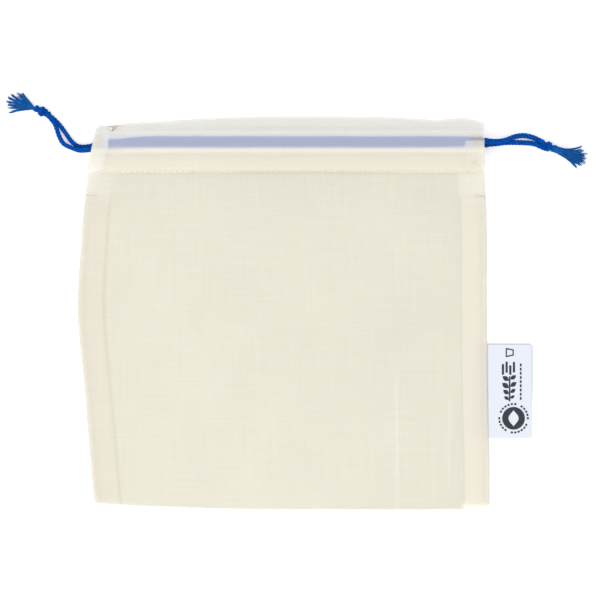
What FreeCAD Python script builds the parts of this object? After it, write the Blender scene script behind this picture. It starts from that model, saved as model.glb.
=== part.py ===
import FreeCAD, Part
import math
import os

# Flat muslin produce bag with a drawstring at each side of its mouth.
# It lies on its back: +X to the right, +Y towards the mouth, +Z up.
# The origin is the middle of the rear panel's underside. Millimetres.

# ---- driving dimensions ----
bag_width = 234.0              # between the side edges at the bottom corners
bag_height = 230.0             # from the bottom fold to the mouth's corners
left_edge_bow = 12.0           # how far the left edge bulges outwards at mid height
right_edge_bow = 0.6           # the same on the right, nearly straight
mouth_bow = 4.0                # how far the mouth's middle stands above its corners
cloth_thickness = 0.5
seam_allowance_width = 16.0
casing_depth = 29.5            # from the mouth's corners down to the hem stitching
belly_height = 12.5            # underside of the front panel over the belly
slit_drop = 13.5               # from the hem stitching down to the lower end of each side slit
mouth_gap = 4.6                # open height between the two casings
facing_thickness = 0.4         # allowance turned back at a casing's end
facing_length = 15.0
layer_gap = 0.05               # between layers that move with the cloth
cord_diameter = 2.6
cord_clearance = 0.3
cord_pitch = 3.6               # between the two cords in one casing
cord_band_drop = 12.4          # from the mouth's corners down to the cords' middle
loop_inset = 4.5               # from the side edge in to the centre of a cord's loop
arch_sections = 10             # along the front panel, from the fold to the slits
arch_overhang = 0.4            # trimmed off the arches along the side edges
thread_width = 0.5
thread_height = 0.25
stitch_length = 2.6
stitch_pitch = 3.4
label_reach = 26.0             # from the seam out to the label's fold
label_height = 56.0
label_thickness = 0.6
label_bottom_rise = 41.0       # from the bottom fold up to the label
label_tab = 8.0                # the part caught in the seam
label_gap = 0.8                # between the seam and the folding part of the label
label_corner = 3.0
knot_length = 8.4
knot_width = 5.2
tassel_length = 17.0
tassel_width = 11.0
tassel_thickness = 2.6

# ---- levels, from the table up ----
cord_radius = cord_diameter / 2
casing_stack = cloth_thickness + layer_gap + facing_thickness + 2 * cord_clearance + cord_diameter
rear_cord_z = cloth_thickness + layer_gap + facing_thickness + cord_clearance + cord_radius
rear_hem_z = casing_stack
front_hem_z = rear_hem_z + cloth_thickness + mouth_gap
casing_top = front_hem_z + casing_stack
front_cord_z = front_hem_z + cloth_thickness + cord_clearance + cord_radius
seam_z = cloth_thickness
seam_thickness = 2 * cloth_thickness

# ---- places in plan ----
half_width = bag_width / 2
half_height = bag_height / 2
hem_line_y = half_height - casing_depth
band_y = half_height - cord_band_drop
upper_cord_y = band_y + cord_pitch / 2
lower_cord_y = band_y - cord_pitch / 2
slit_y = hem_line_y - slit_drop
fold_radius = cloth_thickness + seam_thickness / 2


def bow_at(y, bow):
    """How far a side edge, a circular arc, stands out at a height."""
    radius = (half_height ** 2 + bow ** 2) / (2 * bow)
    return math.sqrt(radius ** 2 - y ** 2) - (radius - bow)


def left_edge_x(y):
    """The left side edge, a shallow arc that bulges outwards."""
    return -half_width - bow_at(y, left_edge_bow)


def right_edge_x(y):
    """The right side edge."""
    return half_width + bow_at(y, right_edge_bow)


def vector(x, y, z):
    return FreeCAD.Vector(x, y, z)


def box(low, high):
    size = [high[axis] - low[axis] for axis in range(3)]
    return Part.makeBox(size[0], size[1], size[2], vector(*low))


def edge_arc(edge_x, y_low, y_high, z, shift=0.0):
    """A side edge between two heights, moved along X by shift."""
    y_middle = (y_low + y_high) / 2
    points = [vector(edge_x(y) + shift, y, z) for y in (y_low, y_middle, y_high)]
    return Part.Arc(*points).toShape()


def side_strip(edge_x, y_low, y_high, shift_in, shift_out, z_low, height):
    """A strip that follows a side edge, between two shifts along X."""
    low, high = sorted((shift_in, shift_out))
    first = edge_arc(edge_x, y_low, y_high, z_low, low)
    last = edge_arc(edge_x, y_low, y_high, z_low, high)
    bottom = Part.makeLine(vector(edge_x(y_low) + low, y_low, z_low), vector(edge_x(y_low) + high, y_low, z_low))
    top = Part.makeLine(vector(edge_x(y_high) + low, y_high, z_low), vector(edge_x(y_high) + high, y_high, z_low))
    wire = Part.Wire(Part.__sortEdges__([first, top, last, bottom]))
    return Part.Face(wire).extrude(vector(0, 0, height))


def outline_face(z):
    """The bag's flat outline: bottom fold, two side edges and the bowed mouth."""
    corners = [vector(left_edge_x(-half_height), -half_height, z), vector(right_edge_x(-half_height), -half_height, z)]
    top_left = vector(left_edge_x(half_height), half_height, z)
    top_right = vector(right_edge_x(half_height), half_height, z)
    mouth = Part.Arc(top_left, vector(0, half_height + mouth_bow, z), top_right).toShape()
    edges = [
        Part.makeLine(corners[0], corners[1]),
        edge_arc(right_edge_x, -half_height, half_height, z),
        mouth,
        edge_arc(left_edge_x, -half_height, half_height, z),
    ]
    return Part.Face(Part.Wire(Part.__sortEdges__(edges)))


def rear_panel():
    """The back of the bag, with the fold that joins it to the front along the bottom."""
    panel = outline_face(0).extrude(vector(0, 0, cloth_thickness))
    start = vector(left_edge_x(-half_height), -half_height, fold_radius)
    outer = Part.makeCylinder(fold_radius, bag_width, start, vector(1, 0, 0))
    inner = Part.makeCylinder(fold_radius - cloth_thickness, bag_width, start, vector(1, 0, 0))
    reach = 2 * fold_radius
    behind = box((-bag_width, -half_height - reach, -reach), (bag_width, -half_height, 2 * reach))
    fold = outer.cut(inner).common(behind)
    return panel.fuse(fold).removeSplitter()


def arch_height(y):
    """Underside of the front panel along the bag's middle, up to the slits."""
    seam_top = seam_z + seam_thickness
    from_fold = min((y + half_height) / (0.8 * half_height), 1.0)
    belly = (belly_height - seam_top) * (1 - (1 - from_fold) ** 2.5)
    towards_mouth = (casing_top - belly_height) * max(y / slit_y, 0.0)
    return seam_top + belly + towards_mouth


def sheet_section(y, side_z, middle_z):
    """A thin closed section of the front panel: an arch from seam to seam."""
    left_x = left_edge_x(min(y, half_height)) - arch_overhang
    right_x = right_edge_x(min(y, half_height)) + arch_overhang
    rails = []
    for lift in (0.0, cloth_thickness):
        left = vector(left_x, y, side_z + lift)
        right = vector(right_x, y, side_z + lift)
        if middle_z > side_z:
            rails.append(Part.Arc(left, vector((left_x + right_x) / 2, y, middle_z + lift), right).toShape())
        else:
            rails.append(Part.makeLine(left, right))
    walls = [
        Part.makeLine(vector(right_x, y, side_z), vector(right_x, y, side_z + cloth_thickness)),
        Part.makeLine(vector(left_x, y, side_z + cloth_thickness), vector(left_x, y, side_z)),
    ]
    return Part.Wire(Part.__sortEdges__([rails[0], walls[0], rails[1], walls[1]]))


def front_panel():
    """The domed front of the bag, low along the fold and the side seams and
    level with the open casings from the hem line to the mouth."""
    seam_top = seam_z + seam_thickness
    step = (slit_y + half_height) / arch_sections
    sections = [(-half_height, seam_top, seam_top)]
    for index in range(1, arch_sections + 1):
        y = -half_height + index * step
        sections.append((y, seam_top, arch_height(y)))
    sections.append((hem_line_y - 1.0, casing_top, casing_top))
    sections.append((half_height + mouth_bow + 1.0, casing_top, casing_top))
    wires = [sheet_section(*section) for section in sections]
    dome = Part.makeLoft(wires, True, True)
    return dome.common(outline_face(0).extrude(vector(0, 0, 2 * casing_top)))


def casing_hem(panel_z, tunnel_z, inner_side):
    """The turned-in layer of a casing: it leaves the panel at the hem line,
    passes the cords at tunnel_z and returns to the panel at the mouth.
    inner_side is +1 when the bag's inside is above the layer, -1 when below."""
    tunnel_low = lower_cord_y - cord_radius - 2 * cord_clearance
    tunnel_high = upper_cord_y + cord_radius + 2 * cord_clearance
    stitched = 3.0
    line = [
        (hem_line_y - 1.0, panel_z),
        (hem_line_y + stitched, panel_z),
        (tunnel_low, tunnel_z),
        (tunnel_high, tunnel_z),
        (half_height - 1.5, panel_z),
        (half_height, panel_z),
    ]
    thickness = cloth_thickness * inner_side
    loop = line + [(y, z + thickness) for y, z in reversed(line)]
    left = left_edge_x(band_y) + loop_inset
    right = right_edge_x(band_y) - loop_inset
    points = [vector(left, y, z) for y, z in loop]
    return Part.Face(Part.makePolygon(points + points[:1])).extrude(vector(right - left, 0, 0))


def seam_allowance(edge_x, inwards):
    """The two cloth layers inside a side seam, from the fold to the slit."""
    return side_strip(edge_x, -half_height, slit_y - 1.5, 0.0, inwards * seam_allowance_width, seam_z,
                      seam_thickness)


def label_slot(clearance):
    """The room that the label takes in the right seam."""
    low_y = -half_height + label_bottom_rise - clearance
    high_y = low_y + label_height + 2 * clearance
    middle = seam_z + seam_thickness / 2
    half = label_thickness / 2 + clearance / 2
    return box((half_width - label_tab, low_y, middle - half), (half_width + 4.0, high_y, middle + half))


def overlock_thread(edge_x, inwards):
    """The thread wrapped over the allowance's raw edge."""
    start = inwards * seam_allowance_width
    return side_strip(edge_x, -half_height + 2.0, slit_y - 2.5, start, start + inwards * thread_width, seam_z,
                      seam_thickness)


def seam_thread(edge_x, outwards):
    """The stitching that shows as a fine ladder along a side edge."""
    stitches = []
    y = -half_height + 3.0
    while y + stitch_length < slit_y - 2.0:
        stitches.append(side_strip(edge_x, y, y + stitch_length, 0.0, outwards * thread_height, seam_z,
                                   seam_thickness))
        y += stitch_pitch
    return stitches


def hem_thread(z_low):
    """A row of straight stitches along the hem line, between the side seams."""
    stitches = []
    x = -half_width + seam_allowance_width
    while x + stitch_length < half_width - seam_allowance_width:
        low = (x, hem_line_y - thread_width / 2, z_low)
        high = (x + stitch_length, hem_line_y + thread_width / 2, z_low + thread_height)
        stitches.append(box(low, high))
        x += stitch_pitch
    return stitches


def casing_end(edge_x, inwards):
    """Both facings at one end of the casings: the allowance turned back
    against the rear panel and against the front panel, beside the slit."""
    outer = edge_x(band_y) + inwards * 1.5
    low_x, high_x = sorted((outer, outer + inwards * facing_length))
    low_y = hem_line_y + 6.0
    high_y = half_height - 2.5
    rear_low = cloth_thickness + layer_gap
    front_low = casing_top - layer_gap - facing_thickness
    return [
        box((low_x, low_y, rear_low), (high_x, high_y, rear_low + facing_thickness)),
        box((low_x, lower_cord_y - cord_radius, front_low), (high_x, high_y, front_low + facing_thickness)),
    ]


def slit_bartack(edge_x, inwards):
    """Close stitches across the seam just under a slit."""
    y_low = slit_y - 1.5
    return side_strip(edge_x, y_low, y_low + 1.0, inwards * 1.0, inwards * 7.0, seam_z, seam_thickness)


def round_section(radius, start, direction):
    return Part.Wire(Part.makeCircle(radius, start, direction))


def tube_along(wire, radius):
    """A round tube along a tangent wire, and the check of its volume."""
    first = wire.OrderedEdges[0]
    start = first.valueAt(first.FirstParameter)
    direction = first.tangentAt(first.FirstParameter)
    tube = wire.makePipeShell([round_section(radius, start, direction)], True, False)
    ratio = tube.Volume / (math.pi * radius ** 2 * wire.Length)
    print("   tube length", round(wire.Length, 1), "volume ratio", round(ratio, 4))
    return tube


def casing_loop(front_y, rear_y, exit_x, turn_x):
    """A cord's stretch inside the casings: in through the front one, round the
    end of the casings at turn_x, and back through the rear one."""
    front_point = vector(turn_x, front_y, front_cord_z)
    rear_point = vector(turn_x, rear_y, rear_cord_z)
    centre = (front_point + rear_point) * 0.5
    radius = (front_point - rear_point).Length / 2
    outwards = math.copysign(1.0, turn_x - exit_x)
    tip = centre + vector(outwards * radius, 0, 0)
    edges = [
        Part.LineSegment(vector(exit_x, front_y, front_cord_z), front_point).toShape(),
        Part.Arc(front_point, tip, rear_point).toShape(),
        Part.LineSegment(rear_point, vector(exit_x, rear_y, rear_cord_z)).toShape(),
    ]
    print("   loop radius", round(radius, 2))
    return tube_along(Part.Wire(edges), cord_radius)


def rounded_route(points):
    """Straight runs joined by tangent arcs, as large as their runs allow."""
    route = [vector(*point) for point in points]
    edges = []
    radii = []
    last = route[0]
    for before, corner, after in zip(route, route[1:], route[2:]):
        incoming = (corner - before).normalize()
        outgoing = (after - corner).normalize()
        half_turn = incoming.getAngle(outgoing) / 2
        shorter = min((corner - before).Length, (after - corner).Length)
        cut = 0.45 * shorter
        radii.append(round(cut / math.tan(half_turn), 1))
        arc_start = corner - incoming * cut
        arc_end = corner + outgoing * cut
        bisector = (outgoing - incoming).normalize()
        depth = cut / math.tan(half_turn) * (1 / math.cos(half_turn) - 1)
        edges.append(Part.LineSegment(last, arc_start).toShape())
        edges.append(Part.Arc(arc_start, corner + bisector * depth, arc_end).toShape())
        last = arc_end
    edges.append(Part.LineSegment(last, route[-1]).toShape())
    print("   radii", radii)
    return Part.Wire(edges)


def knot(centre, direction):
    """A rounded knot that lies along direction."""
    ball = Part.makeSphere(knot_width / 2)
    stretch = FreeCAD.Matrix()
    stretch.scale(knot_length / knot_width, 1.0, 1.0)
    turn = FreeCAD.Rotation(vector(1, 0, 0), vector(*direction))
    egg = ball.transformGeometry(stretch)
    egg.Placement = FreeCAD.Placement(vector(*centre), turn)
    return egg


def tassel(start, direction):
    """The frayed ends of one drawstring: a bundle that fans out flat."""
    along = vector(*direction).normalize()
    tip = vector(*start) + along * tassel_length
    tip.z = tassel_thickness / 2 + 0.1
    sideways = vector(-along.y, along.x, 0).normalize()
    neck = round_section(cord_radius * 1.45, vector(*start), along)
    fan = Part.Ellipse(tip + sideways * (tassel_width / 2), tip + vector(0, 0, tassel_thickness / 2), tip).toShape()
    return Part.makeLoft([neck, Part.Wire(fan)], True)


def side_label():
    """The folding part of the label: two layers with the fold at the outer edge."""
    slot = label_slot(0.0).BoundBox
    start = half_width + right_edge_bow + label_gap
    solid = box((start, slot.YMin, slot.ZMin), (start + label_reach, slot.YMax, slot.ZMax))
    layer = label_thickness / 3
    inner = box(
        (start - 1.0, slot.YMin - 1.0, slot.ZMin + layer),
        (start + label_reach - layer, slot.YMax + 1.0, slot.ZMax - layer),
    )
    corners = [edge for edge in solid.Edges
               if abs(edge.tangentAt(edge.FirstParameter).z) > 0.9 and edge.CenterOfMass.x > start + 1.0]
    return solid.makeFillet(label_corner, corners).cut(inner)


def group(shapes):
    return Part.makeCompound(shapes)


# ---- free ends of the cords, from the slit to the knot ----
left_exit_x = left_edge_x(band_y)
right_exit_x = right_edge_x(band_y)



def beyond(exit_x, steps):
    """Places past a slit: out from it, up from the cords' middle, and above a cord that lies on the table."""
    return [(exit_x + out, band_y + up, cord_radius + lift) for out, up, lift in steps]


left_upper_tail = [(left_exit_x, lower_cord_y, front_cord_z)] + beyond(left_exit_x, [
    (-4.13, -2.3, 9.1),
    (-8.53, -3.7, 4.3),
    (-13.73, -2.9, 0.7),
    (-18.93, 1.0, 0.2),
    (-22.43, 6.8, 0.2),
    (-24.53, 12.2, 0.6),
    (-27.63, 16.2, 1.3),
])
left_lower_tail = [(left_exit_x, upper_cord_y, rear_cord_z)] + beyond(left_exit_x, [
    (-4.93, 1.3, 0.8),
    (-10.13, 1.0, 0.2),
    (-14.73, 4.4, 0.1),
    (-17.93, 9.8, 0.2),
    (-20.93, 15.2, 0.6),
    (-25.73, 19.3, 1.3),
])
right_upper_tail = [(right_exit_x, upper_cord_y, front_cord_z)] + beyond(right_exit_x, [
    (4.38, 2.2, 9.1),
    (9.28, 3.2, 4.5),
    (15.08, 5.3, 0.9),
    (21.48, 6.1, 0.2),
    (27.08, 4.6, 0.2),
    (31.48, 2.0, 0.6),
    (34.68, -0.2, 1.3),
])
right_lower_tail = [(right_exit_x, lower_cord_y, rear_cord_z)] + beyond(right_exit_x, [
    (4.88, -2.0, 0.8),
    (10.68, -0.8, 0.2),
    (17.08, 0.0, 0.1),
    (23.28, -0.7, 0.2),
    (29.28, -2.3, 0.6),
    (34.88, -3.4, 1.3),
])
left_knot_centre = (left_exit_x - 29.83, band_y + 19.2, knot_width / 2 + 0.1)
left_knot_direction = (-0.86, 0.5, 0.0)
left_tassel_start = (left_exit_x - 33.43, band_y + 21.1, knot_width / 2)
left_tassel_direction = (-0.93, 0.22, 0.0)
right_knot_centre = (right_exit_x + 37.78, band_y - 2.4, knot_width / 2 + 0.1)
right_knot_direction = (0.97, -0.22, 0.0)
right_tassel_start = (right_exit_x + 41.88, band_y - 3.2, knot_width / 2)
right_tassel_direction = (0.93, -0.34, 0.0)

slot_for_tab = label_slot(0.2)
inner_tab_limit = half_width - 0.2

parts = {
    "rear_panel": rear_panel(),
    "front_panel": front_panel(),
    "rear_casing_hem": casing_hem(cloth_thickness, rear_hem_z, 1),
    "front_casing_hem": casing_hem(casing_top, front_hem_z + cloth_thickness, -1),
    "left_seam_allowance": seam_allowance(left_edge_x, 1),
    "right_seam_allowance": seam_allowance(right_edge_x, -1).cut(slot_for_tab),
    "left_overlock_thread": overlock_thread(left_edge_x, 1),
    "right_overlock_thread": overlock_thread(right_edge_x, -1),
    "left_seam_thread": group(seam_thread(left_edge_x, -1)),
    "right_seam_thread": group([stitch for stitch in seam_thread(right_edge_x, 1)
                                if stitch.distToShape(slot_for_tab)[0] > cord_clearance]),
    "front_hem_thread": group(hem_thread(casing_top + cloth_thickness)),
    "rear_hem_thread": group(hem_thread(2 * cloth_thickness)),
    "left_slit_bartack": slit_bartack(left_edge_x, 1),
    "right_slit_bartack": slit_bartack(right_edge_x, -1),
    "left_casing_end": group(casing_end(left_edge_x, 1)),
    "right_casing_end": group(casing_end(right_edge_x, -1)),
    "label_seam_tab": label_slot(0.0).common(box((0, -half_height, 0), (inner_tab_limit, half_height, 5.0))),
    "side_label": side_label(),
    "left_cord_loop": casing_loop(lower_cord_y, upper_cord_y, left_exit_x, right_exit_x - loop_inset),
    "left_tail_upper": tube_along(rounded_route(left_upper_tail), cord_radius),
    "left_tail_lower": tube_along(rounded_route(left_lower_tail), cord_radius),
    "left_knot": knot(left_knot_centre, left_knot_direction),
    "left_tassel": tassel(left_tassel_start, left_tassel_direction),
    "right_cord_loop": casing_loop(upper_cord_y, lower_cord_y, right_exit_x, left_exit_x + loop_inset),
    "right_tail_upper": tube_along(rounded_route(right_upper_tail), cord_radius),
    "right_tail_lower": tube_along(rounded_route(right_lower_tail), cord_radius),
    "right_knot": knot(right_knot_centre, right_knot_direction),
    "right_tassel": tassel(right_tassel_start, right_tassel_direction),
}

os.makedirs("parts", exist_ok=True)
for name, shape in parts.items():
    shape.exportStep(f"parts/{name}.step")
    bounds = shape.BoundBox
    lows = [round(value, 1) for value in (bounds.XMin, bounds.YMin, bounds.ZMin)]
    highs = [round(value, 1) for value in (bounds.XMax, bounds.YMax, bounds.ZMax)]
    print(name, "valid", shape.isValid(), "solids", len(shape.Solids), "volume", round(shape.Volume, 1), lows, highs)
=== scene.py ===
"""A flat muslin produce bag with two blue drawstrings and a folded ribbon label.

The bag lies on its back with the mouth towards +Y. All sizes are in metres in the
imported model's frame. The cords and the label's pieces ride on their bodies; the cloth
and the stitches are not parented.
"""
import logging
import math
from dataclasses import dataclass, field
from enum import Enum

import bpy
import numpy as np
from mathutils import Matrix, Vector, noise


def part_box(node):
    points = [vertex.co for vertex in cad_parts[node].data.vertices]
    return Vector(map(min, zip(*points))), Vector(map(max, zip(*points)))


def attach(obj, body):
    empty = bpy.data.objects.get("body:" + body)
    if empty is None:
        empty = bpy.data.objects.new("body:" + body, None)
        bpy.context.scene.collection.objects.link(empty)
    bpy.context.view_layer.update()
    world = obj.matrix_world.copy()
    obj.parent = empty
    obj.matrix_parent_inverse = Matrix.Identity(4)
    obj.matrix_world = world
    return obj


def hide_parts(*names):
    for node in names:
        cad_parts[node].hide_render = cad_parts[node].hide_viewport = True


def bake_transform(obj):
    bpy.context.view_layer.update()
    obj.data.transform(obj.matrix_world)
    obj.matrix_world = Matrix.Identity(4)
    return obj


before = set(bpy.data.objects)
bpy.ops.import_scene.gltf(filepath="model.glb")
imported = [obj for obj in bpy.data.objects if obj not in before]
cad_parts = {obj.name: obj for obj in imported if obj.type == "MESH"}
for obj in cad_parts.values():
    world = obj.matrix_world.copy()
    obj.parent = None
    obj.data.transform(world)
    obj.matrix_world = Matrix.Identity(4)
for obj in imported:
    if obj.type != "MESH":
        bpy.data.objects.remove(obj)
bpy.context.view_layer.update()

MM = 0.001
LOG = logging.getLogger("produce_bag")
Spot = tuple[float, float]
Place = tuple[float, float, float]
Colour = Place
Outline = list[Spot]

CORD_BAND_Y = 103.0 * MM
NEAR_EDGE = (0.0, 0.12, 0.3, 0.55, 0.85, 1.2, 1.8, 2.6)
WELD_REACH = 0.00001
CAP_BULGE = 0.4
REAR_PATTERN_SHIFT = -0.24
LEAF_HALF_WIDTH = 0.30


class Side(Enum):
    """The two sides of the bag, with the sign of X on each."""

    LEFT = -1
    RIGHT = 1

    @property
    def word(self) -> str:
        """The side's name as the bodies and nodes have it."""
        return self.name.lower()

    @property
    def mouth_body(self) -> str:
        """The body that carries this end of the mouth."""
        return f"mouth_{self.word}"


class Face(Enum):
    """The two cloth faces of the bag."""

    FRONT = 1
    REAR = -1

    @property
    def word(self) -> str:
        """The face's name as the nodes have it."""
        return self.name.lower()


# ---------------------------------------------------------------- helpers


def deselect_all() -> None:
    """Leave object mode with nothing selected."""
    if bpy.context.object is not None and bpy.context.object.mode != "OBJECT":
        bpy.ops.object.mode_set(mode="OBJECT")
    bpy.ops.object.select_all(action="DESELECT")


def ease(value: np.ndarray | float, low: float, high: float) -> np.ndarray:
    """A smooth step from 0 at low to 1 at high.

    Args:
        value: Where the step is read.
        low: Where it starts to rise.
        high: Where it reaches one.

    Returns:
        The step's height, from 0 to 1.
    """
    share = np.clip((np.asarray(value, float) - low) / (high - low), 0.0, 1.0)
    return share * share * (3 - 2 * share)


def eased_path(share: np.ndarray, keys: Outline) -> np.ndarray:
    """Values that run smoothly through a few keys.

    Args:
        share: Where the values are read.
        keys: Pairs of place and value, in order of place.

    Returns:
        One value for each place.
    """
    places = np.array([key[0] for key in keys])
    values = np.array([key[1] for key in keys])
    slopes = np.gradient(values, places)
    index = np.clip(np.searchsorted(places, share, side="right") - 1, 0, len(keys) - 2)
    width = places[index + 1] - places[index]
    part = np.clip((share - places[index]) / width, 0.0, 1.0)
    first = (1 + 2 * part) * (1 - part) ** 2 * values[index]
    second = part * (1 - part) ** 2 * width * slopes[index]
    third = part ** 2 * (3 - 2 * part) * values[index + 1]
    fourth = part ** 2 * (part - 1) * width * slopes[index + 1]
    return first + second + third + fourth


def rolling_noise(x: np.ndarray, y: np.ndarray, scale_x: float, scale_y: float, seed: float) -> np.ndarray:
    """Smooth unevenness over the cloth.

    Args:
        x: Places across the bag.
        y: Places up the bag.
        scale_x: Size of its waves across.
        scale_y: Size of its waves up the bag.
        seed: Picks one pattern of many.

    Returns:
        Values from about -1 to 1.
    """
    flat = [noise.noise(Vector((a / scale_x, b / scale_y, seed))) for a, b in zip(x.ravel(), y.ravel())]
    return np.array(flat).reshape(x.shape)


class Shape:
    """Points, faces and pattern coordinates gathered for one piece."""

    def __init__(self) -> None:
        """Start with nothing."""
        self.points: list[np.ndarray] = []
        self.faces: list[np.ndarray] = []
        self.patterns: list[np.ndarray] = []
        self.count = 0

    def add(self, points: np.ndarray, faces: np.ndarray, pattern: np.ndarray) -> None:
        """Take in one more patch.

        Args:
            points: Places, one row each.
            faces: Quads, as rows of point numbers within this patch.
            pattern: Pattern coordinates, one row for each point.
        """
        self.points.append(points)
        self.faces.append(faces + self.count)
        self.patterns.append(pattern)
        self.count += len(points)

    def add_grid(self, places: np.ndarray, pattern: np.ndarray, flip: bool) -> None:
        """Take in a grid of quads.

        Args:
            places: Rows by columns by three coordinates.
            pattern: Rows by columns by two pattern coordinates.
            flip: Turns the faces over.
        """
        rows, columns = places.shape[:2]
        numbers = np.arange(rows * columns).reshape(rows, columns)
        quads = np.stack([numbers[:-1, :-1], numbers[:-1, 1:], numbers[1:, 1:], numbers[1:, :-1]], axis=-1)
        quads = quads.reshape(-1, 4)
        if flip:
            quads = quads[:, ::-1]
        self.add(places.reshape(-1, 3), quads, pattern.reshape(-1, 2))

    def add_tube(self, line: np.ndarray, radii: np.ndarray, sides: int, offset: float = 0.0) -> None:
        """Take in a round tube with closed ends.

        Args:
            line: The tube's middle line.
            radii: Its radius at each point of the line.
            sides: Faces round it.
            offset: Moves its pattern along, so that no two tubes match.
        """
        along, first, second = carried_frames(line)
        angles = np.linspace(0, 2 * math.pi, sides, endpoint=False)
        cosines, sines = np.cos(angles)[None, :, None], np.sin(angles)[None, :, None]
        ring = cosines * first[:, None, :] + sines * second[:, None, :]
        points = line[:, None, :] + ring * radii[:, None, None]
        travelled = np.concatenate([[0.0], np.cumsum(np.linalg.norm(np.diff(line, axis=0), axis=1))]) + offset
        pattern = np.stack(np.broadcast_arrays(angles[None, :] / (2 * math.pi), travelled[:, None]), axis=-1)
        rows = len(line)
        numbers = np.arange(rows * sides).reshape(rows, sides)
        after = np.roll(numbers, -1, axis=1)
        quads = np.stack([numbers[:-1], after[:-1], after[1:], numbers[1:]], axis=-1).reshape(-1, 4)
        caps = [line[0] - along[0] * radii[0] * CAP_BULGE, line[-1] + along[-1] * radii[-1] * CAP_BULGE]
        top, bottom = rows * sides, rows * sides + 1
        ends = [[top, after[0, k], numbers[0, k], top] for k in range(sides)]
        ends += [[bottom, numbers[-1, k], after[-1, k], bottom] for k in range(sides)]
        all_points = np.concatenate([points.reshape(-1, 3), np.array(caps)])
        tip_pattern = np.array([[0.5, travelled[0]], [0.5, travelled[-1]]])
        all_pattern = np.concatenate([pattern.reshape(-1, 2), tip_pattern])
        self.add(all_points, np.concatenate([quads, np.array(ends)]), all_pattern)

    def piece(self, name: str) -> bpy.types.Object:
        """Make the object, smooth shaded, with its pattern as a UV map.

        Args:
            name: The piece's name.

        Returns:
            The new object, at the origin.
        """
        points = np.concatenate(self.points)
        faces = [tuple(dict.fromkeys(face)) for face in np.concatenate(self.faces).tolist()]
        pattern = np.concatenate(self.patterns)
        mesh = bpy.data.meshes.new(name)
        mesh.from_pydata(points.tolist(), [], faces)
        corners = np.empty(len(mesh.loops), dtype=np.int32)
        mesh.loops.foreach_get("vertex_index", corners)
        layer = mesh.uv_layers.new(name="pattern")
        layer.data.foreach_set("uv", pattern[corners].ravel().astype(np.float32))
        mesh.polygons.foreach_set("use_smooth", np.ones(len(mesh.polygons), dtype=bool))
        mesh.update()
        made = bpy.data.objects.new(name, mesh)
        bpy.context.scene.collection.objects.link(made)
        return made


def carried_frames(line: np.ndarray) -> tuple[np.ndarray, np.ndarray, np.ndarray]:
    """Directions along a line and two across it that turn as little as they can.

    Args:
        line: Points of the line.

    Returns:
        The directions along, first across and second across, for each point.
    """
    along = np.gradient(line, axis=0)
    along /= np.maximum(np.linalg.norm(along, axis=1, keepdims=True), 1e-12)
    start = np.array([0.0, 0.0, 1.0]) if abs(along[0][2]) < 0.9 else np.array([1.0, 0.0, 0.0])
    first = np.empty_like(line)
    across = start - along[0] * start.dot(along[0])
    for index, direction in enumerate(along):
        across = across - direction * across.dot(direction)
        across /= max(np.linalg.norm(across), 1e-12)
        first[index] = across
    return along, first, np.cross(along, first)


def spaced(line: np.ndarray, step: float) -> np.ndarray:
    """The same line with its points evenly spaced.

    Args:
        line: Points of the line.
        step: The distance wanted between points.

    Returns:
        The evenly spaced points.
    """
    travelled = np.concatenate([[0.0], np.cumsum(np.linalg.norm(np.diff(line, axis=0), axis=1))])
    stops = np.linspace(0.0, travelled[-1], max(int(travelled[-1] / step) + 1, 4))
    return np.stack([np.interp(stops, travelled, line[:, axis]) for axis in range(3)], axis=1)


def length_of(line: np.ndarray) -> float:
    """The length of a line of points."""
    return float(np.linalg.norm(np.diff(line, axis=0), axis=1).sum())


def smooth_route(name: str, route: list[Place]) -> np.ndarray:
    """The smooth line of a cord, a NURBS spline held by its route's points.

    Args:
        name: A name for the guide.
        route: The route's control points, in millimetres.

    Returns:
        Points along the spline, in metres.
    """
    curve = bpy.data.curves.new(name, "CURVE")
    curve.dimensions = "3D"
    curve.resolution_u = 24
    spline = curve.splines.new("NURBS")
    spline.points.add(len(route) - 1)
    for point, place in zip(spline.points, route):
        point.co = (place[0] * MM, place[1] * MM, place[2] * MM, 1.0)
    spline.order_u = 3
    spline.use_endpoint_u = True
    guide = bpy.data.objects.new(name, curve)
    bpy.context.scene.collection.objects.link(guide)
    mesh = bpy.data.meshes.new_from_object(guide)
    line = np.array([vertex.co[:] for vertex in mesh.vertices])
    bpy.data.objects.remove(guide)
    bpy.data.curves.remove(curve)
    bpy.data.meshes.remove(mesh)
    return line


# ---------------------------------------------------------------- shader groups


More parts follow.
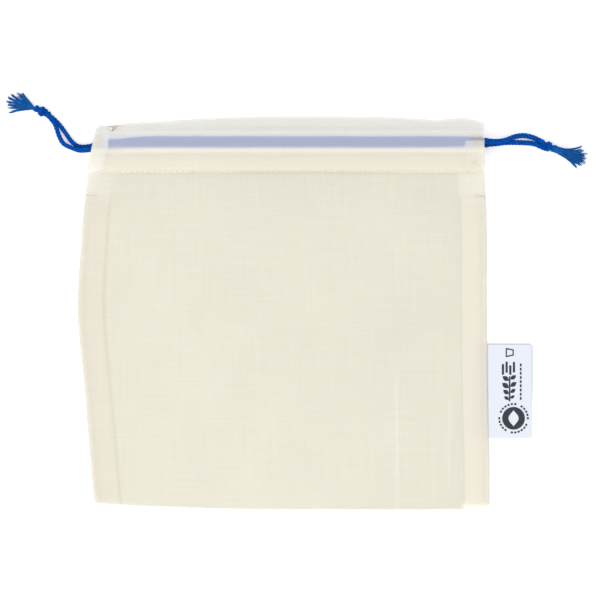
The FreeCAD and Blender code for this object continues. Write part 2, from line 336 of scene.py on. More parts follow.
class Nodes:
    """A few short ways to lay out shader nodes."""

    def __init__(self, tree: bpy.types.NodeTree) -> None:
        """Keep the tree that the nodes go in."""
        self.tree = tree

    def add(self, kind: str, **settings: object) -> bpy.types.Node:
        """Add a node and set its properties.

        Args:
            kind: The node type's own name.
            settings: Property names and values.

        Returns:
            The new node.
        """
        made = self.tree.nodes.new(kind)
        for key, value in settings.items():
            setattr(made, key, value)
        return made

    def feed(self, target: bpy.types.NodeSocket, source: object) -> None:
        """Link a socket, or set its value where the source is a number or colour.

        Args:
            target: The socket to feed.
            source: A socket, number or colour.
        """
        if isinstance(source, bpy.types.NodeSocket):
            self.tree.links.new(source, target)
        else:
            target.default_value = source

    def sum(self, operation: str, first: object, second: object = 0.0,
            third: object = 0.0) -> bpy.types.NodeSocket:
        """A Math node.

        Args:
            operation: The Math node's operation.
            first: Its first input.
            second: Its second input.
            third: Its third input, for the operations that have one.

        Returns:
            The result's socket.
        """
        made = self.add("ShaderNodeMath", operation=operation)
        for index, source in enumerate((first, second, third)):
            self.feed(made.inputs[index], source)
        return made.outputs[0]

    def noise(self, vector: object, scale: float, detail: float = 2.0,
              rough: float = 0.5) -> bpy.types.NodeSocket:
        """A Noise Texture's value, from 0 to 1.

        Args:
            vector: Where it is read.
            scale: Its scale.
            detail: How many finer layers it has.
            rough: How strong they are.

        Returns:
            The value's socket.
        """
        made = self.add("ShaderNodeTexNoise")
        self.feed(made.inputs["Vector"], vector)
        made.inputs["Scale"].default_value = scale
        made.inputs["Detail"].default_value = detail
        made.inputs["Roughness"].default_value = rough
        return made.outputs["Fac"]

    def stretched(self, vector: object, scale: Place) -> bpy.types.NodeSocket:
        """Coordinates stretched by a different amount along each axis.

        Args:
            vector: The coordinates.
            scale: The stretch along each axis.

        Returns:
            The stretched coordinates' socket.
        """
        made = self.add("ShaderNodeMapping")
        self.feed(made.inputs["Vector"], vector)
        made.inputs["Scale"].default_value = scale
        return made.outputs["Vector"]

    def remap(self, value: object, low: float, high: float, to_low: float,
              to_high: float) -> bpy.types.NodeSocket:
        """A value moved from one range to another, and held inside it.

        Args:
            value: The value to move.
            low: The low end of its range.
            high: The high end of its range.
            to_low: The low end of the new range.
            to_high: The high end of the new range.

        Returns:
            The moved value's socket.
        """
        made = self.add("ShaderNodeMapRange")
        self.feed(made.inputs["Value"], value)
        made.inputs["From Min"].default_value = low
        made.inputs["From Max"].default_value = high
        made.inputs["To Min"].default_value = to_low
        made.inputs["To Max"].default_value = to_high
        return made.outputs["Result"]

    def blend(self, share: object, first: object, second: object) -> bpy.types.NodeSocket:
        """A mix of two colours.

        Args:
            share: How much of the second there is.
            first: The first colour.
            second: The second colour.

        Returns:
            The mixed colour's socket.
        """
        made = self.add("ShaderNodeMix", data_type="RGBA", blend_type="MIX")
        self.feed(made.inputs[0], share)
        self.feed(made.inputs[6], rgba(first) if isinstance(first, tuple) else first)
        self.feed(made.inputs[7], rgba(second) if isinstance(second, tuple) else second)
        return made.outputs[2]

    def pattern(self) -> bpy.types.NodeSocket:
        """The piece's own pattern coordinates."""
        return self.add("ShaderNodeUVMap", uv_map="pattern").outputs["UV"]

    def kept(self, name: str) -> bpy.types.NodeSocket:
        """The number that a piece keeps at each of its points."""
        return self.add("ShaderNodeAttribute", attribute_name=name).outputs["Fac"]

    def stretch_tone(self, value: object) -> bpy.types.NodeSocket:
        """The middle of a noise's range, drawn out to run from 0 to 1."""
        return self.remap(value, 0.3, 0.7, 0.0, 1.0)

    def bump(self, shader: bpy.types.Node, height: object, strength: float, distance: float) -> None:
        """Raise a shader's surface a little.

        Args:
            shader: The shader whose normal is fed.
            height: The height's socket.
            strength: How strong the bump is.
            distance: How high it stands.
        """
        made = self.add("ShaderNodeBump")
        made.inputs["Strength"].default_value = strength
        made.inputs["Distance"].default_value = distance
        self.feed(made.inputs["Height"], height)
        self.feed(shader.inputs["Normal"], made.outputs["Normal"])


def rgba(colour: Colour) -> tuple[float, float, float, float]:
    """A colour with full opacity."""
    return (*colour[:3], 1.0)


def new_group(name: str, inputs: dict[str, float | None], outputs: dict[str, str]) -> bpy.types.NodeTree:
    """An empty shader group with its sockets.

    Args:
        name: The group's name.
        inputs: Socket names and default values; None makes a vector.
        outputs: Socket names and their types.

    Returns:
        The group's tree, with one input and one output node.
    """
    group = bpy.data.node_groups.new(name, "ShaderNodeTree")
    for key, value in inputs.items():
        kind = "NodeSocketVector" if value is None else "NodeSocketFloat"
        socket = group.interface.new_socket(name=key, in_out="INPUT", socket_type=kind)
        if value is not None:
            socket.default_value = value
    for key, kind in outputs.items():
        group.interface.new_socket(name=key, in_out="OUTPUT", socket_type=kind)
    return group


def plain_weave_group() -> bpy.types.NodeTree:
    """Over-and-under threads, thick and thin, with small gaps between them.

    Returns:
        A group that gives the threads' height, their gaps and their streaks.
    """
    floats = {"Height": "NodeSocketFloat", "Gaps": "NodeSocketFloat", "Streaks": "NodeSocketFloat",
              "Clouds": "NodeSocketFloat"}
    group = new_group("plain weave", {"Vector": None, "Threads": 1800.0, "Slubs": 1.0}, floats)
    nodes = Nodes(group)
    source = nodes.add("NodeGroupInput").outputs
    split = nodes.add("ShaderNodeSeparateXYZ")
    wander = nodes.noise(source["Vector"], 60.0, 2.0)
    nodes.feed(split.inputs[0], source["Vector"])
    turns = nodes.sum("MULTIPLY", source["Threads"], math.pi)
    drift = nodes.sum("MULTIPLY", wander, 2.2)
    waves = []
    for axis in (0, 1):
        angle = nodes.sum("MULTIPLY_ADD", split.outputs[axis], turns, drift)
        waves.append(nodes.sum("SINE", angle))
    across = nodes.sum("ABSOLUTE", waves[0])
    along = nodes.sum("ABSOLUTE", waves[1])
    crossing = nodes.sum("MULTIPLY", waves[0], waves[1])
    ridges = nodes.sum("ADD", across, along)
    height = nodes.sum("MULTIPLY_ADD", crossing, 0.5, ridges)
    gap_across = nodes.sum("SUBTRACT", 1.0, across)
    gap_along = nodes.sum("SUBTRACT", 1.0, along)
    gaps = nodes.sum("MULTIPLY", gap_across, gap_along)
    warp = nodes.noise(nodes.stretched(source["Vector"], (1.0, 0.02, 1.0)), 900.0, 2.0, 0.6)
    weft = nodes.noise(nodes.stretched(source["Vector"], (0.03, 1.0, 1.0)), 700.0, 2.0, 0.6)
    streaks = nodes.sum("ADD", nodes.remap(warp, 0.3, 0.7, -0.5, 0.5), nodes.remap(weft, 0.3, 0.7, -0.5, 0.5))
    clouds = nodes.noise(source["Vector"], 22.0, 3.0, 0.55)
    target = nodes.add("NodeGroupOutput").inputs
    nodes.feed(target["Height"], nodes.sum("MULTIPLY_ADD", streaks, source["Slubs"], height))
    nodes.feed(target["Gaps"], gaps)
    nodes.feed(target["Streaks"], nodes.sum("MULTIPLY", streaks, source["Slubs"]))
    nodes.feed(target["Clouds"], clouds)
    return group


def spun_yarn_group() -> bpy.types.NodeTree:
    """Fine fibres that wind round a yarn, with uneven dye that is also painted darker in the fibres' hollows.

    Returns:
        A group that gives the fibres' height, and the dye's unevenness with painted shade in the fibres'
        hollows.
    """
    outputs = {"Height": "NodeSocketFloat", "Dye_and_hollow_shade": "NodeSocketFloat"}
    group = new_group("spun yarn", {"Vector": None, "Twist": 420.0, "Fibres": 5.0}, outputs)
    nodes = Nodes(group)
    source = nodes.add("NodeGroupInput").outputs
    split = nodes.add("ShaderNodeSeparateXYZ")
    nodes.feed(split.inputs[0], source["Vector"])
    around = nodes.sum("MULTIPLY", split.outputs[0], source["Fibres"])
    wound = nodes.sum("MULTIPLY_ADD", split.outputs[1], source["Twist"], around)
    wave = nodes.sum("SINE", nodes.sum("MULTIPLY", wound, 2 * math.pi))
    flecks = nodes.noise(nodes.stretched(source["Vector"], (6.0, 900.0, 1.0)), 1.0, 3.0, 0.6)
    target = nodes.add("NodeGroupOutput").inputs
    nodes.feed(target["Height"], nodes.sum("MULTIPLY_ADD", wave, 0.5, flecks))
    # The dye follows the fibres' relief, so the hollows get painted shade as well as uneven dye.
    nodes.feed(target["Dye_and_hollow_shade"], nodes.sum("MULTIPLY_ADD", wave, 0.12, flecks))
    return group


# ---------------------------------------------------------------- finishes


def new_material(name: str) -> tuple[bpy.types.Material, Nodes, bpy.types.Node]:
    """A material with an empty Principled shader.

    Args:
        name: The material's name.

    Returns:
        The material, its nodes and its shader.
    """
    material = bpy.data.materials.new(name)
    material.use_nodes = True
    return material, Nodes(material.node_tree), material.node_tree.nodes["Principled BSDF"]


@dataclass(frozen=True)
class MuslinFinish:
    """Undyed cotton muslin, thin enough to see through a little."""

    name: str
    pale: Colour = (0.74, 0.71, 0.585)
    deep: Colour = (0.70, 0.67, 0.55)
    # Paler tone where a hem or an allowance backs the cloth; it also paints highlights along the creases.
    doubled: Colour = (1.0, 0.96, 0.85)
    cooled: Colour = (0.84, 0.88, 1.0)
    shaded: Colour = (0.38, 0.35, 0.45)
    streak: Colour = (0.96, 0.945, 0.88)
    streaky: float = 0.08
    cover: float = 0.46
    uneven: float = 0.012
    gap: float = 0.05
    veil: float = 0.34
    threads: float = 1800.0
    sheen: float = 0.1
    bump: float = 0.15
    grain: float = 0.0001

    def build(self) -> bpy.types.Material:
        """Make the material.

        Returns:
            The material.
        """
        material, nodes, shader = new_material(self.name)
        pattern = nodes.pattern()
        weave = nodes.add("ShaderNodeGroup", node_tree=bpy.data.node_groups["plain weave"])
        nodes.feed(weave.inputs["Vector"], pattern)
        weave.inputs["Threads"].default_value = self.threads
        cloud = nodes.blend(nodes.stretch_tone(weave.outputs["Clouds"]), self.pale, self.deep)
        # Backed cloth is paler; the same tone paints highlights on the creases, and on the hem the shade in the
        # front's dent.
        backed_lit_and_shaded = nodes.blend(nodes.kept("doubled"), cloud, self.doubled)
        cooled = nodes.blend(nodes.kept("cooled"), backed_lit_and_shaded, self.cooled)
        streak = nodes.remap(weave.outputs["Streaks"], -0.6, 0.6, 0.0, self.streaky)
        woven = nodes.blend(streak, cooled, self.streak)
        # Painted shadow line along the cloth's side edges.
        nodes.feed(shader.inputs["Base Color"], nodes.blend(nodes.kept("edge_shadow"), woven, self.shaded))
        cover = nodes.sum("MULTIPLY_ADD", weave.outputs["Streaks"], self.uneven, self.cover)
        cover = nodes.sum("MULTIPLY_ADD", nodes.kept("veiled"), self.veil, cover)
        nodes.feed(shader.inputs["Alpha"], nodes.sum("MULTIPLY_ADD", weave.outputs["Gaps"], -self.gap, cover))
        shader.inputs["Roughness"].default_value = 0.85
        shader.inputs["Specular IOR Level"].default_value = 0.2
        shader.inputs["Sheen Weight"].default_value = self.sheen
        shader.inputs["Sheen Roughness"].default_value = 0.5
        nodes.bump(shader, weave.outputs["Height"], self.bump, self.grain)
        return material


@dataclass(frozen=True)
class YarnFinish:
    """Cotton yarn, dyed in the strand, paler where it frays."""

    name: str
    dark: Colour
    light: Colour
    twist: float = 420.0
    fibres: float = 5.0
    rough: float = 0.6
    bump: float = 0.5
    grain: float = 0.0001

    def build(self) -> bpy.types.Material:
        """Make the material.

        Returns:
            The material.
        """
        material, nodes, shader = new_material(self.name)
        pattern = nodes.pattern()
        yarn = nodes.add("ShaderNodeGroup", node_tree=bpy.data.node_groups["spun yarn"])
        nodes.feed(yarn.inputs["Vector"], pattern)
        yarn.inputs["Twist"].default_value = self.twist
        yarn.inputs["Fibres"].default_value = self.fibres
        # Uneven dye, partly painted shade in the yarn's hollows.
        dye_and_hollow_shade = nodes.remap(yarn.outputs["Dye_and_hollow_shade"], 0.3, 0.75, 0.0, 1.0)
        nodes.feed(shader.inputs["Base Color"], nodes.blend(dye_and_hollow_shade, self.dark, self.light))
        shader.inputs["Roughness"].default_value = self.rough
        shader.inputs["Specular IOR Level"].default_value = 0.05
        nodes.bump(shader, yarn.outputs["Height"], self.bump, self.grain)
        return material


@dataclass(frozen=True)
class SatinFinish:
    """Bluish white satin ribbon with fine crosswise ribs, and a painted shadow line along its top edge and
    fold.
    """

    name: str
    pale: Colour = (0.80, 0.83, 0.91)
    deep: Colour = (0.75, 0.79, 0.89)
    wear_and_edge_shadow: Colour = (0.25, 0.26, 0.31)
    ribs: float = 5200.0
    bump: float = 0.2
    grain: float = 0.00005

    def build(self) -> bpy.types.Material:
        """Make the material.

        Returns:
            The material.
        """
        material, nodes, shader = new_material(self.name)
        pattern = nodes.pattern()
        split = nodes.add("ShaderNodeSeparateXYZ")
        nodes.feed(split.inputs[0], pattern)
        ribs = nodes.sum("SINE", nodes.sum("MULTIPLY", split.outputs[1], self.ribs))
        streak = nodes.noise(nodes.stretched(pattern, (60.0, 1500.0, 1.0)), 1.0, 2.0)
        satin = nodes.blend(nodes.stretch_tone(streak), self.pale, self.deep)
        # Painted shadow line along the ribbon's top edge and fold.
        nodes.feed(shader.inputs["Base Color"], nodes.blend(nodes.kept("edge_shadow"), satin, self.wear_and_edge_shadow))
        nodes.feed(shader.inputs["Roughness"], nodes.remap(streak, 0.3, 0.7, 0.32, 0.45))
        shader.inputs["Specular IOR Level"].default_value = 0.5
        shader.inputs["Sheen Weight"].default_value = 0.2
        nodes.bump(shader, nodes.sum("ADD", ribs, streak), self.bump, self.grain)
        return material


@dataclass(frozen=True)
class InkFinish:
    """Dark grey label ink that has sunk in unevenly."""

    name: str
    dark: Colour = (0.018, 0.019, 0.027)
    wear_and_edge_shadow: Colour = (0.055, 0.058, 0.07)

    def build(self) -> bpy.types.Material:
        """Make the material.

        Returns:
            The material.
        """
        material, nodes, shader = new_material(self.name)
        place = nodes.add("ShaderNodeTexCoord").outputs["Object"]
        patches = nodes.noise(place, 1400.0, 3.0, 0.6)
        share = nodes.remap(patches, 0.45, 0.7, 0.0, 1.0)
        nodes.feed(shader.inputs["Base Color"], nodes.blend(share, self.dark, self.wear_and_edge_shadow))
        shader.inputs["Roughness"].default_value = 0.7
        return material


@dataclass(frozen=True)
class FloorFinish:
    """Matt white light table, lit a little from below."""

    name: str
    white: Colour = (0.9, 0.9, 0.9)
    fleck: Colour = (0.92, 0.92, 0.92)
    glow: float = 0.4

    def build(self) -> bpy.types.Material:
        """Make the material.

        Returns:
            The material.
        """
        material, nodes, shader = new_material(self.name)
        place = nodes.add("ShaderNodeTexCoord").outputs["Object"]
        grain = nodes.noise(place, 300.0, 2.0)
        share = nodes.remap(grain, 0.0, 1.0, 0.0, 1.0)
        nodes.feed(shader.inputs["Base Color"], nodes.blend(share, self.white, self.fleck))
        shader.inputs["Roughness"].default_value = 0.95
        shader.inputs["Specular IOR Level"].default_value = 0.0
        shader.inputs["Emission Color"].default_value = rgba(self.white)
        shader.inputs["Emission Strength"].default_value = self.glow
        return material


@dataclass
class Finishes:
    """Every material of the bag, built once."""

    cloth: MuslinFinish = MuslinFinish("muslin")
    # On the hem the backing tone is a painted warm shade, laid only inside the front's dent at the left of the
    # mouth.
    hem: MuslinFinish = MuslinFinish(
        "muslin_hem", pale=(0.98, 0.93, 0.80), deep=(0.95, 0.89, 0.75), doubled=(0.60, 0.36, 0.26))
    left_seam: MuslinFinish = MuslinFinish(
        "muslin_left_seam", pale=(0.99, 0.92, 0.84), deep=(0.97, 0.89, 0.80), cover=0.3)
    right_seam: MuslinFinish = MuslinFinish(
        "muslin_right_seam", pale=(0.98, 0.93, 0.85), deep=(0.96, 0.91, 0.80), cover=0.75)
    left_facing: MuslinFinish = MuslinFinish(
        "muslin_left_facing", pale=(0.90, 0.885, 0.84), deep=(0.87, 0.855, 0.80), cover=0.8)
    right_facing: MuslinFinish = MuslinFinish(
        "muslin_right_facing", pale=(0.90, 0.87, 0.80), deep=(0.87, 0.84, 0.76), cover=0.66)
    thread: YarnFinish = YarnFinish("sewing_thread", (0.83, 0.80, 0.70), (0.92, 0.89, 0.80), 1500.0, 2.0, 0.7)
    cord: YarnFinish = YarnFinish("blue_cord", (0.0, 0.025, 0.19), (0.001, 0.135, 0.60), rough=0.8)
    fray: YarnFinish = YarnFinish("blue_cord_frayed", (0.0, 0.045, 0.27), (0.03, 0.25, 0.70), 900.0, 2.0, 0.8)
    ribbon: SatinFinish = SatinFinish("label_satin")
    ink: InkFinish = InkFinish("label_ink")
    floor: FloorFinish = FloorFinish("white_table")
    made: dict[str, bpy.types.Material] = field(default_factory=dict)

    def build(self) -> None:
        """Make the groups and then every material."""
        plain_weave_group()
        spun_yarn_group()
        for key in ("cloth", "hem", "left_seam", "right_seam", "left_facing", "right_facing", "thread",
                    "cord", "fray", "ribbon", "ink", "floor"):
            self.made[key] = getattr(self, key).build()

    def dress(self, piece: bpy.types.Object, key: str) -> None:
        """Give a piece its material.

        Args:
            piece: The piece.
            key: Which finish it has.
        """
        piece.data.materials.clear()
        piece.data.materials.append(self.made[key])


# ---------------------------------------------------------------- the cloth


@dataclass
class BagCloth:
    """The folded cloth of the bag: both faces, casings, allowances and facings."""

    half_width: float = 117.0 * MM
    half_height: float = 115.0 * MM
    hem_y: float = 85.5 * MM
    slit_y: float = 72.0 * MM
    casing_z: float = 13.62 * MM
    rear_z: float = 0.2 * MM
    seam_z: float = 1.0 * MM
    seam_roll: float = 0.95 * MM
    belly: float = 11.0 * MM
    allowance: float = 16.0 * MM
    facing: float = 13.0 * MM
    step: float = 1.3 * MM
    gather_reach: float = 117.0 * MM
    gather_slope: float = 0.89
    gather_top: float = 119.0 * MM
    long_crease_x: float = 0.063
    short_crease_x: float = 0.0945
    dent_x: float = 106.5
    paler: float = 0.72

    def edge(self, side: Side, y: np.ndarray) -> np.ndarray:
        """How far a side edge stands from the middle at a height.

        Args:
            side: Which half of the bag.
            y: Places up the bag.

        Returns:
            The distance from the middle, in metres.
        """
        if side is Side.LEFT:
            keys = [
                (-120.0, 117.8), (-111.0, 118.7), (-99.0, 119.9), (-87.0, 120.9), (-75.0, 121.8),
                (-63.0, 122.9), (-51.0, 123.9), (-39.0, 124.9), (-27.0, 126.0), (-15.0, 127.3),
                (-3.0, 128.2), (9.0, 128.3), (21.0, 127.8), (33.0, 127.1), (45.0, 126.3),
                (57.0, 125.5), (69.0, 124.3), (81.0, 122.5), (93.0, 120.4), (105.0, 117.9),
                (114.0, 115.6), (120.0, 114.2),
            ]
        else:
            keys = [
                (-120.0, 119.2), (-100.0, 119.0), (-75.0, 118.4), (-50.0, 117.8), (-20.0, 117.4),
                (20.0, 117.2), (50.0, 117.1), (69.0, 116.6), (81.0, 115.7), (93.0, 114.9),
                (105.0, 114.7), (120.0, 114.5),
            ]
        corner = 0.8 * MM * (1 - ease(y, -self.half_height, -self.half_height + 5 * MM)) ** 2
        return eased_path(np.clip(y / MM, -120.0, 120.0), keys) * MM - corner

    def bottom(self, x: np.ndarray) -> np.ndarray:
        """The bottom fold's height, which sags a little towards the right.

        Args:
            x: Places across the bag.

        Returns:
            The fold's height at each place.
        """
        keys = [
            (-130.0, -112.8), (-117.0, -113.5), (-80.0, -115.1), (-37.0, -116.5), (30.0, -116.9),
            (90.0, -116.9), (108.0, -116.4), (119.0, -115.2), (125.0, -114.9),
        ]
        return eased_path(x / MM, keys) * MM

    def mouth(self, x: np.ndarray, face: Face) -> np.ndarray:
        """A mouth edge's height, bowed, with a dip to the right and the front's dent to the left.

        Args:
            x: Places across the bag.
            face: Which face of the bag.

        Returns:
            The edge's height at each place.
        """
        keys = [
            (-125.0, 112.8), (-116.0, 113.2), (-109.0, 113.3), (-103.0, 113.8), (-91.0, 114.3),
            (-79.0, 114.9), (-67.0, 115.8), (-55.0, 116.6), (-31.0, 117.6), (-7.0, 118.0),
            (17.0, 118.1), (41.0, 117.8), (65.0, 117.2), (77.0, 116.5), (86.0, 115.8),
            (92.0, 116.3), (98.0, 116.9), (104.0, 117.0), (107.0, 116.4), (110.0, 115.8),
            (113.0, 114.7), (116.0, 113.2), (120.0, 112.1),
        ]
        dent = 4.4 * np.exp(-((x / MM + self.dent_x) / 3.6) ** 2) if face is Face.FRONT else 0.0
        return (eased_path(x / MM, keys) - dent) * MM

    def blend_cloth(self, piece: bpy.types.Object, side: Side) -> None:
        """Bake a piece's placing into its points; it is not set to gather with the mouth.

        Args:
            piece: A piece on one half of the bag, in its final shape.
            side: Which half it is on. Not used.
        """
        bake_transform(piece)

    def columns(self) -> np.ndarray:
        """Shares of the way from the middle to a side edge, closer at the edge.

        Returns:
            The shares, from the middle outwards.
        """
        reach = self.half_width
        near = np.array(NEAR_EDGE) * MM
        count = int((reach - near[-1]) / self.step)
        return np.concatenate([np.linspace(0.0, 1 - near[-1] / reach, count), 1 - near[-2::-1] / reach])

    def rows(self) -> np.ndarray:
        """Shares of the way from the bottom fold to the mouth, closer at both.

        Returns:
            The shares, from the fold upwards.
        """
        height = 2 * self.half_height
        near = np.array(NEAR_EDGE) * MM
        count = int((height - 2 * near[-1]) / self.step)
        inner = np.linspace(near[-1] / height, 1 - near[-1] / height, count)
        return np.concatenate([near[:-1] / height, inner, 1 - near[-2::-1] / height])

    def plan(self, side: Side, face: Face, across: np.ndarray,
             up: np.ndarray) -> tuple[np.ndarray, np.ndarray]:
        """Places in plan of a grid over one half of one face of the bag.

        Args:
            side: Which half.
            face: Which face.
            across: Shares from the middle to the side edge.
            up: Shares from the bottom fold to the mouth.

        Returns:
            The grid's X and Y, rows by columns.
        """
        level = -self.half_height + up[:, None] * 2 * self.half_height
        x = side.value * across[None, :] * self.edge(side, level)
        low, high = self.bottom(x), self.mouth(x, face)
        return x, low + up[:, None] * (high - low)

    def belly_z(self, x: np.ndarray, y: np.ndarray) -> np.ndarray:
        """How far the front stands over the seams, before it is creased.

        Args:
            x: Places across the bag.
            y: Places up the bag.

        Returns:
            The rise at each place.
        """
        from_fold = np.clip((y + self.half_height) / (0.8 * self.half_height), 0.0, 1.0)
        rise = self.belly * (1 - (1 - from_fold) ** 2.5)
        left, right = self.edge(Side.LEFT, y), self.edge(Side.RIGHT, y)
        middle, reach = (right - left) / 2, (right + left) / 2
        off = np.clip(np.abs((x - middle) / reach), 0.0, 1.0)
        return rise * (1 - off ** 2)

    def creases(self, x: np.ndarray, y: np.ndarray) -> np.ndarray:
        """Soft waves and a few sharp creases in the front.

        Args:
            x: Places across the bag.
            y: Places up the bag.

        Returns:
            The rise or dip at each place.
        """
        waves = 0.45 * rolling_noise(x, y, 0.045, 0.11, 3.1) + 0.16 * rolling_noise(x, y, 0.016, 0.05, 9.7)
        fine = 0.05 * rolling_noise(x, y, 0.006, 0.012, 5.3)
        return (waves + fine + 0.45 * self.long_crease(x, y) + 0.3 * self.short_crease(x, y)) * MM

    def long_crease(self, x: np.ndarray, y: np.ndarray) -> np.ndarray:
        """The sharp upright crease right of the middle, near the bottom."""
        ridge = np.exp(-((x - self.long_crease_x - self.crease_wander(y)) / (0.8 * MM)) ** 2)
        return ridge * ease(-y, 0.020, 0.045)

    def short_crease(self, x: np.ndarray, y: np.ndarray) -> np.ndarray:
        """A fainter crease beside the right seam."""
        ridge = np.exp(-((x - self.short_crease_x + self.crease_wander(y)) / (1.0 * MM)) ** 2)
        return ridge * ease(-y, 0.045, 0.055) * ease(y, -0.108, -0.095)

    def crease_wander(self, y: np.ndarray) -> np.ndarray:
        """How far a crease strays from upright at each height."""
        return 1.2 * MM * rolling_noise(y * 0, y, 1.0, 0.05, 1.7)

    def front_z(self, side: Side, x: np.ndarray, y: np.ndarray) -> np.ndarray:
        """The front face's height.

        Args:
            side: Which half of the bag.
            x: Places across the bag.
            y: Places up the bag.

        Returns:
            The height at each place.
        """
        from_edge = self.edge(side, y) - np.abs(x)
        from_bottom = y - self.bottom(x)
        from_mouth = self.mouth(x, Face.FRONT) - y
        roll = rounded(from_edge, self.seam_roll) * rounded(from_bottom, self.seam_roll)
        inner = ease(from_edge, 0.5 * MM, 9 * MM) * ease(from_bottom, 0.5 * MM, 9 * MM)
        strip = 0.35 * MM * (1 - ease(from_edge, self.allowance - 1.2 * MM, self.allowance + 1.6 * MM))
        strip = strip * ease(from_edge, 0.0, 2 * MM) * ease(from_bottom, 0.0, 2 * MM)
        body = self.seam_z + self.seam_roll * roll + self.belly_z(x, y) * ease(from_bottom, 0.0, 3 * MM)
        body = body + self.creases(x, y) * inner + strip
        wave = rolling_noise(x, y, 0.0045, 0.06, 2.2)
        hang = 0.10 * MM * wave + 0.18 * MM * rolling_noise(x, y, 0.03, 0.02, 6.4)
        stitched = 0.30 * MM * np.exp(-((y - self.hem_y) / (1.1 * MM)) ** 2)
        casing = self.casing_z + hang - stitched
        casing = casing - 0.6 * MM * (1 - rounded(from_mouth, 0.6 * MM))
        lift = ease(y, self.slit_y, self.hem_y + 2 * MM)
        return body * (1 - lift) + casing * lift

    def rear_z_at(self, side: Side, x: np.ndarray, y: np.ndarray) -> np.ndarray:
        """The rear face's height.

        Args:
            side: Which half of the bag.
            x: Places across the bag.
            y: Places up the bag.

        Returns:
            The height at each place.
        """
        from_edge = self.edge(side, y) - np.abs(x)
        from_bottom = y - self.bottom(x)
        from_mouth = self.mouth(x, Face.REAR) - y
        lift = ease(y, self.slit_y, self.hem_y)
        roll = np.maximum(rounded(from_edge, self.seam_roll), lift) * rounded(from_bottom, self.seam_roll)
        wave = 0.12 * MM * (1 + rolling_noise(x, y, 0.03, 0.05, 12.5)) * ease(from_edge, 1 * MM, 6 * MM)
        closed = self.seam_z - (self.seam_z - self.rear_z) * roll + wave * ease(from_bottom, 1 * MM, 6 * MM)
        return closed + 0.5 * MM * (1 - rounded(from_mouth, 0.6 * MM))

    def body_half(self, side: Side) -> bpy.types.Object:
        """One half of the folded cloth, front and rear round the bottom fold.

        Args:
            side: Which half of the bag.

        Returns:
            The new piece.
        """
        shape = Shape()
        across, up = self.columns(), self.rows()
        x, y = self.plan(side, Face.FRONT, across, up)
        front = np.stack([x, y, self.front_z(side, x, y)], axis=-1)
        front[0, :, 2] = self.seam_z
        shape.add_grid(front, np.stack([x, y], axis=-1), flip=side is Side.LEFT)
        x, y = self.plan(side, Face.REAR, across, up)
        rear = np.stack([x, y, self.rear_z_at(side, x, y)], axis=-1)
        rear[0, :, 2] = self.seam_z
        shape.add_grid(rear, np.stack([x, REAR_PATTERN_SHIFT - y], axis=-1), flip=side is Side.RIGHT)
        piece = shape.piece(f"{side.word}_cloth")
        weld(piece, WELD_REACH)
        places = np.array([vertex.co for vertex in piece.data.vertices])
        x, y = places[:, 0], places[:, 1]
        mark_points(piece, "doubled", self.doubled_at(side, x, y))
        # Painted shadow line along the side edges, in patches.
        fold = 1 - ease(self.edge(side, y) - np.abs(x), 0.1 * MM, 0.75 * MM)
        patchy = np.clip(0.55 + rolling_noise(x * 0, y, 1.0, 0.03, 21.0 + side.value), 0.0, 1.0)
        mark_points(piece, "edge_shadow", fold * patchy * 0.75)
        from_cords = np.abs(y - CORD_BAND_Y)
        beside_cords = ease(from_cords, 2.2 * MM, 5.2 * MM) * (1 - ease(from_cords, 5.4 * MM, 8.0 * MM))
        mark_points(piece, "veiled", beside_cords)
        from_ends = 112 * MM - np.abs(x + 3 * MM)
        over_cords = (1 - ease(from_cords, 3.0 * MM, 5.0 * MM)) * ease(from_ends, 0.0, 5 * MM)
        mark_points(piece, "cooled", np.maximum(over_cords, 0.5 * ease(y, 106 * MM, 109 * MM)))
        return piece

    def doubled_at(self, side: Side, x: np.ndarray, y: np.ndarray) -> np.ndarray:
        """How much paler the cloth is where a hem or an allowance backs it, with a painted highlight along the
        two creases.

        Args:
            side: Which half of the bag.
            x: Places across the bag.
            y: Places up the bag.

        Returns:
            A share from 0 to 1 for each point.
        """
        hem = ease(y, self.hem_y - 1.2 * MM, self.hem_y) * (1 - self.paler * ease(y, 94 * MM, 107 * MM))
        from_edge = self.edge(side, y) - np.abs(x)
        strip = 1 - ease(from_edge, self.allowance - 1.2 * MM, self.allowance + 0.6 * MM)
        strip = strip * (1 - self.paler * ease(y, self.slit_y - 2.5 * MM, self.slit_y - 0.5 * MM))
        # Painted highlight along the ridges of the two creases.
        crease = 0.24 * self.long_crease(x, y) + 0.16 * self.short_crease(x, y)
        return np.maximum(np.maximum(hem, crease), strip * (0.4 if side is Side.LEFT else 0.9))

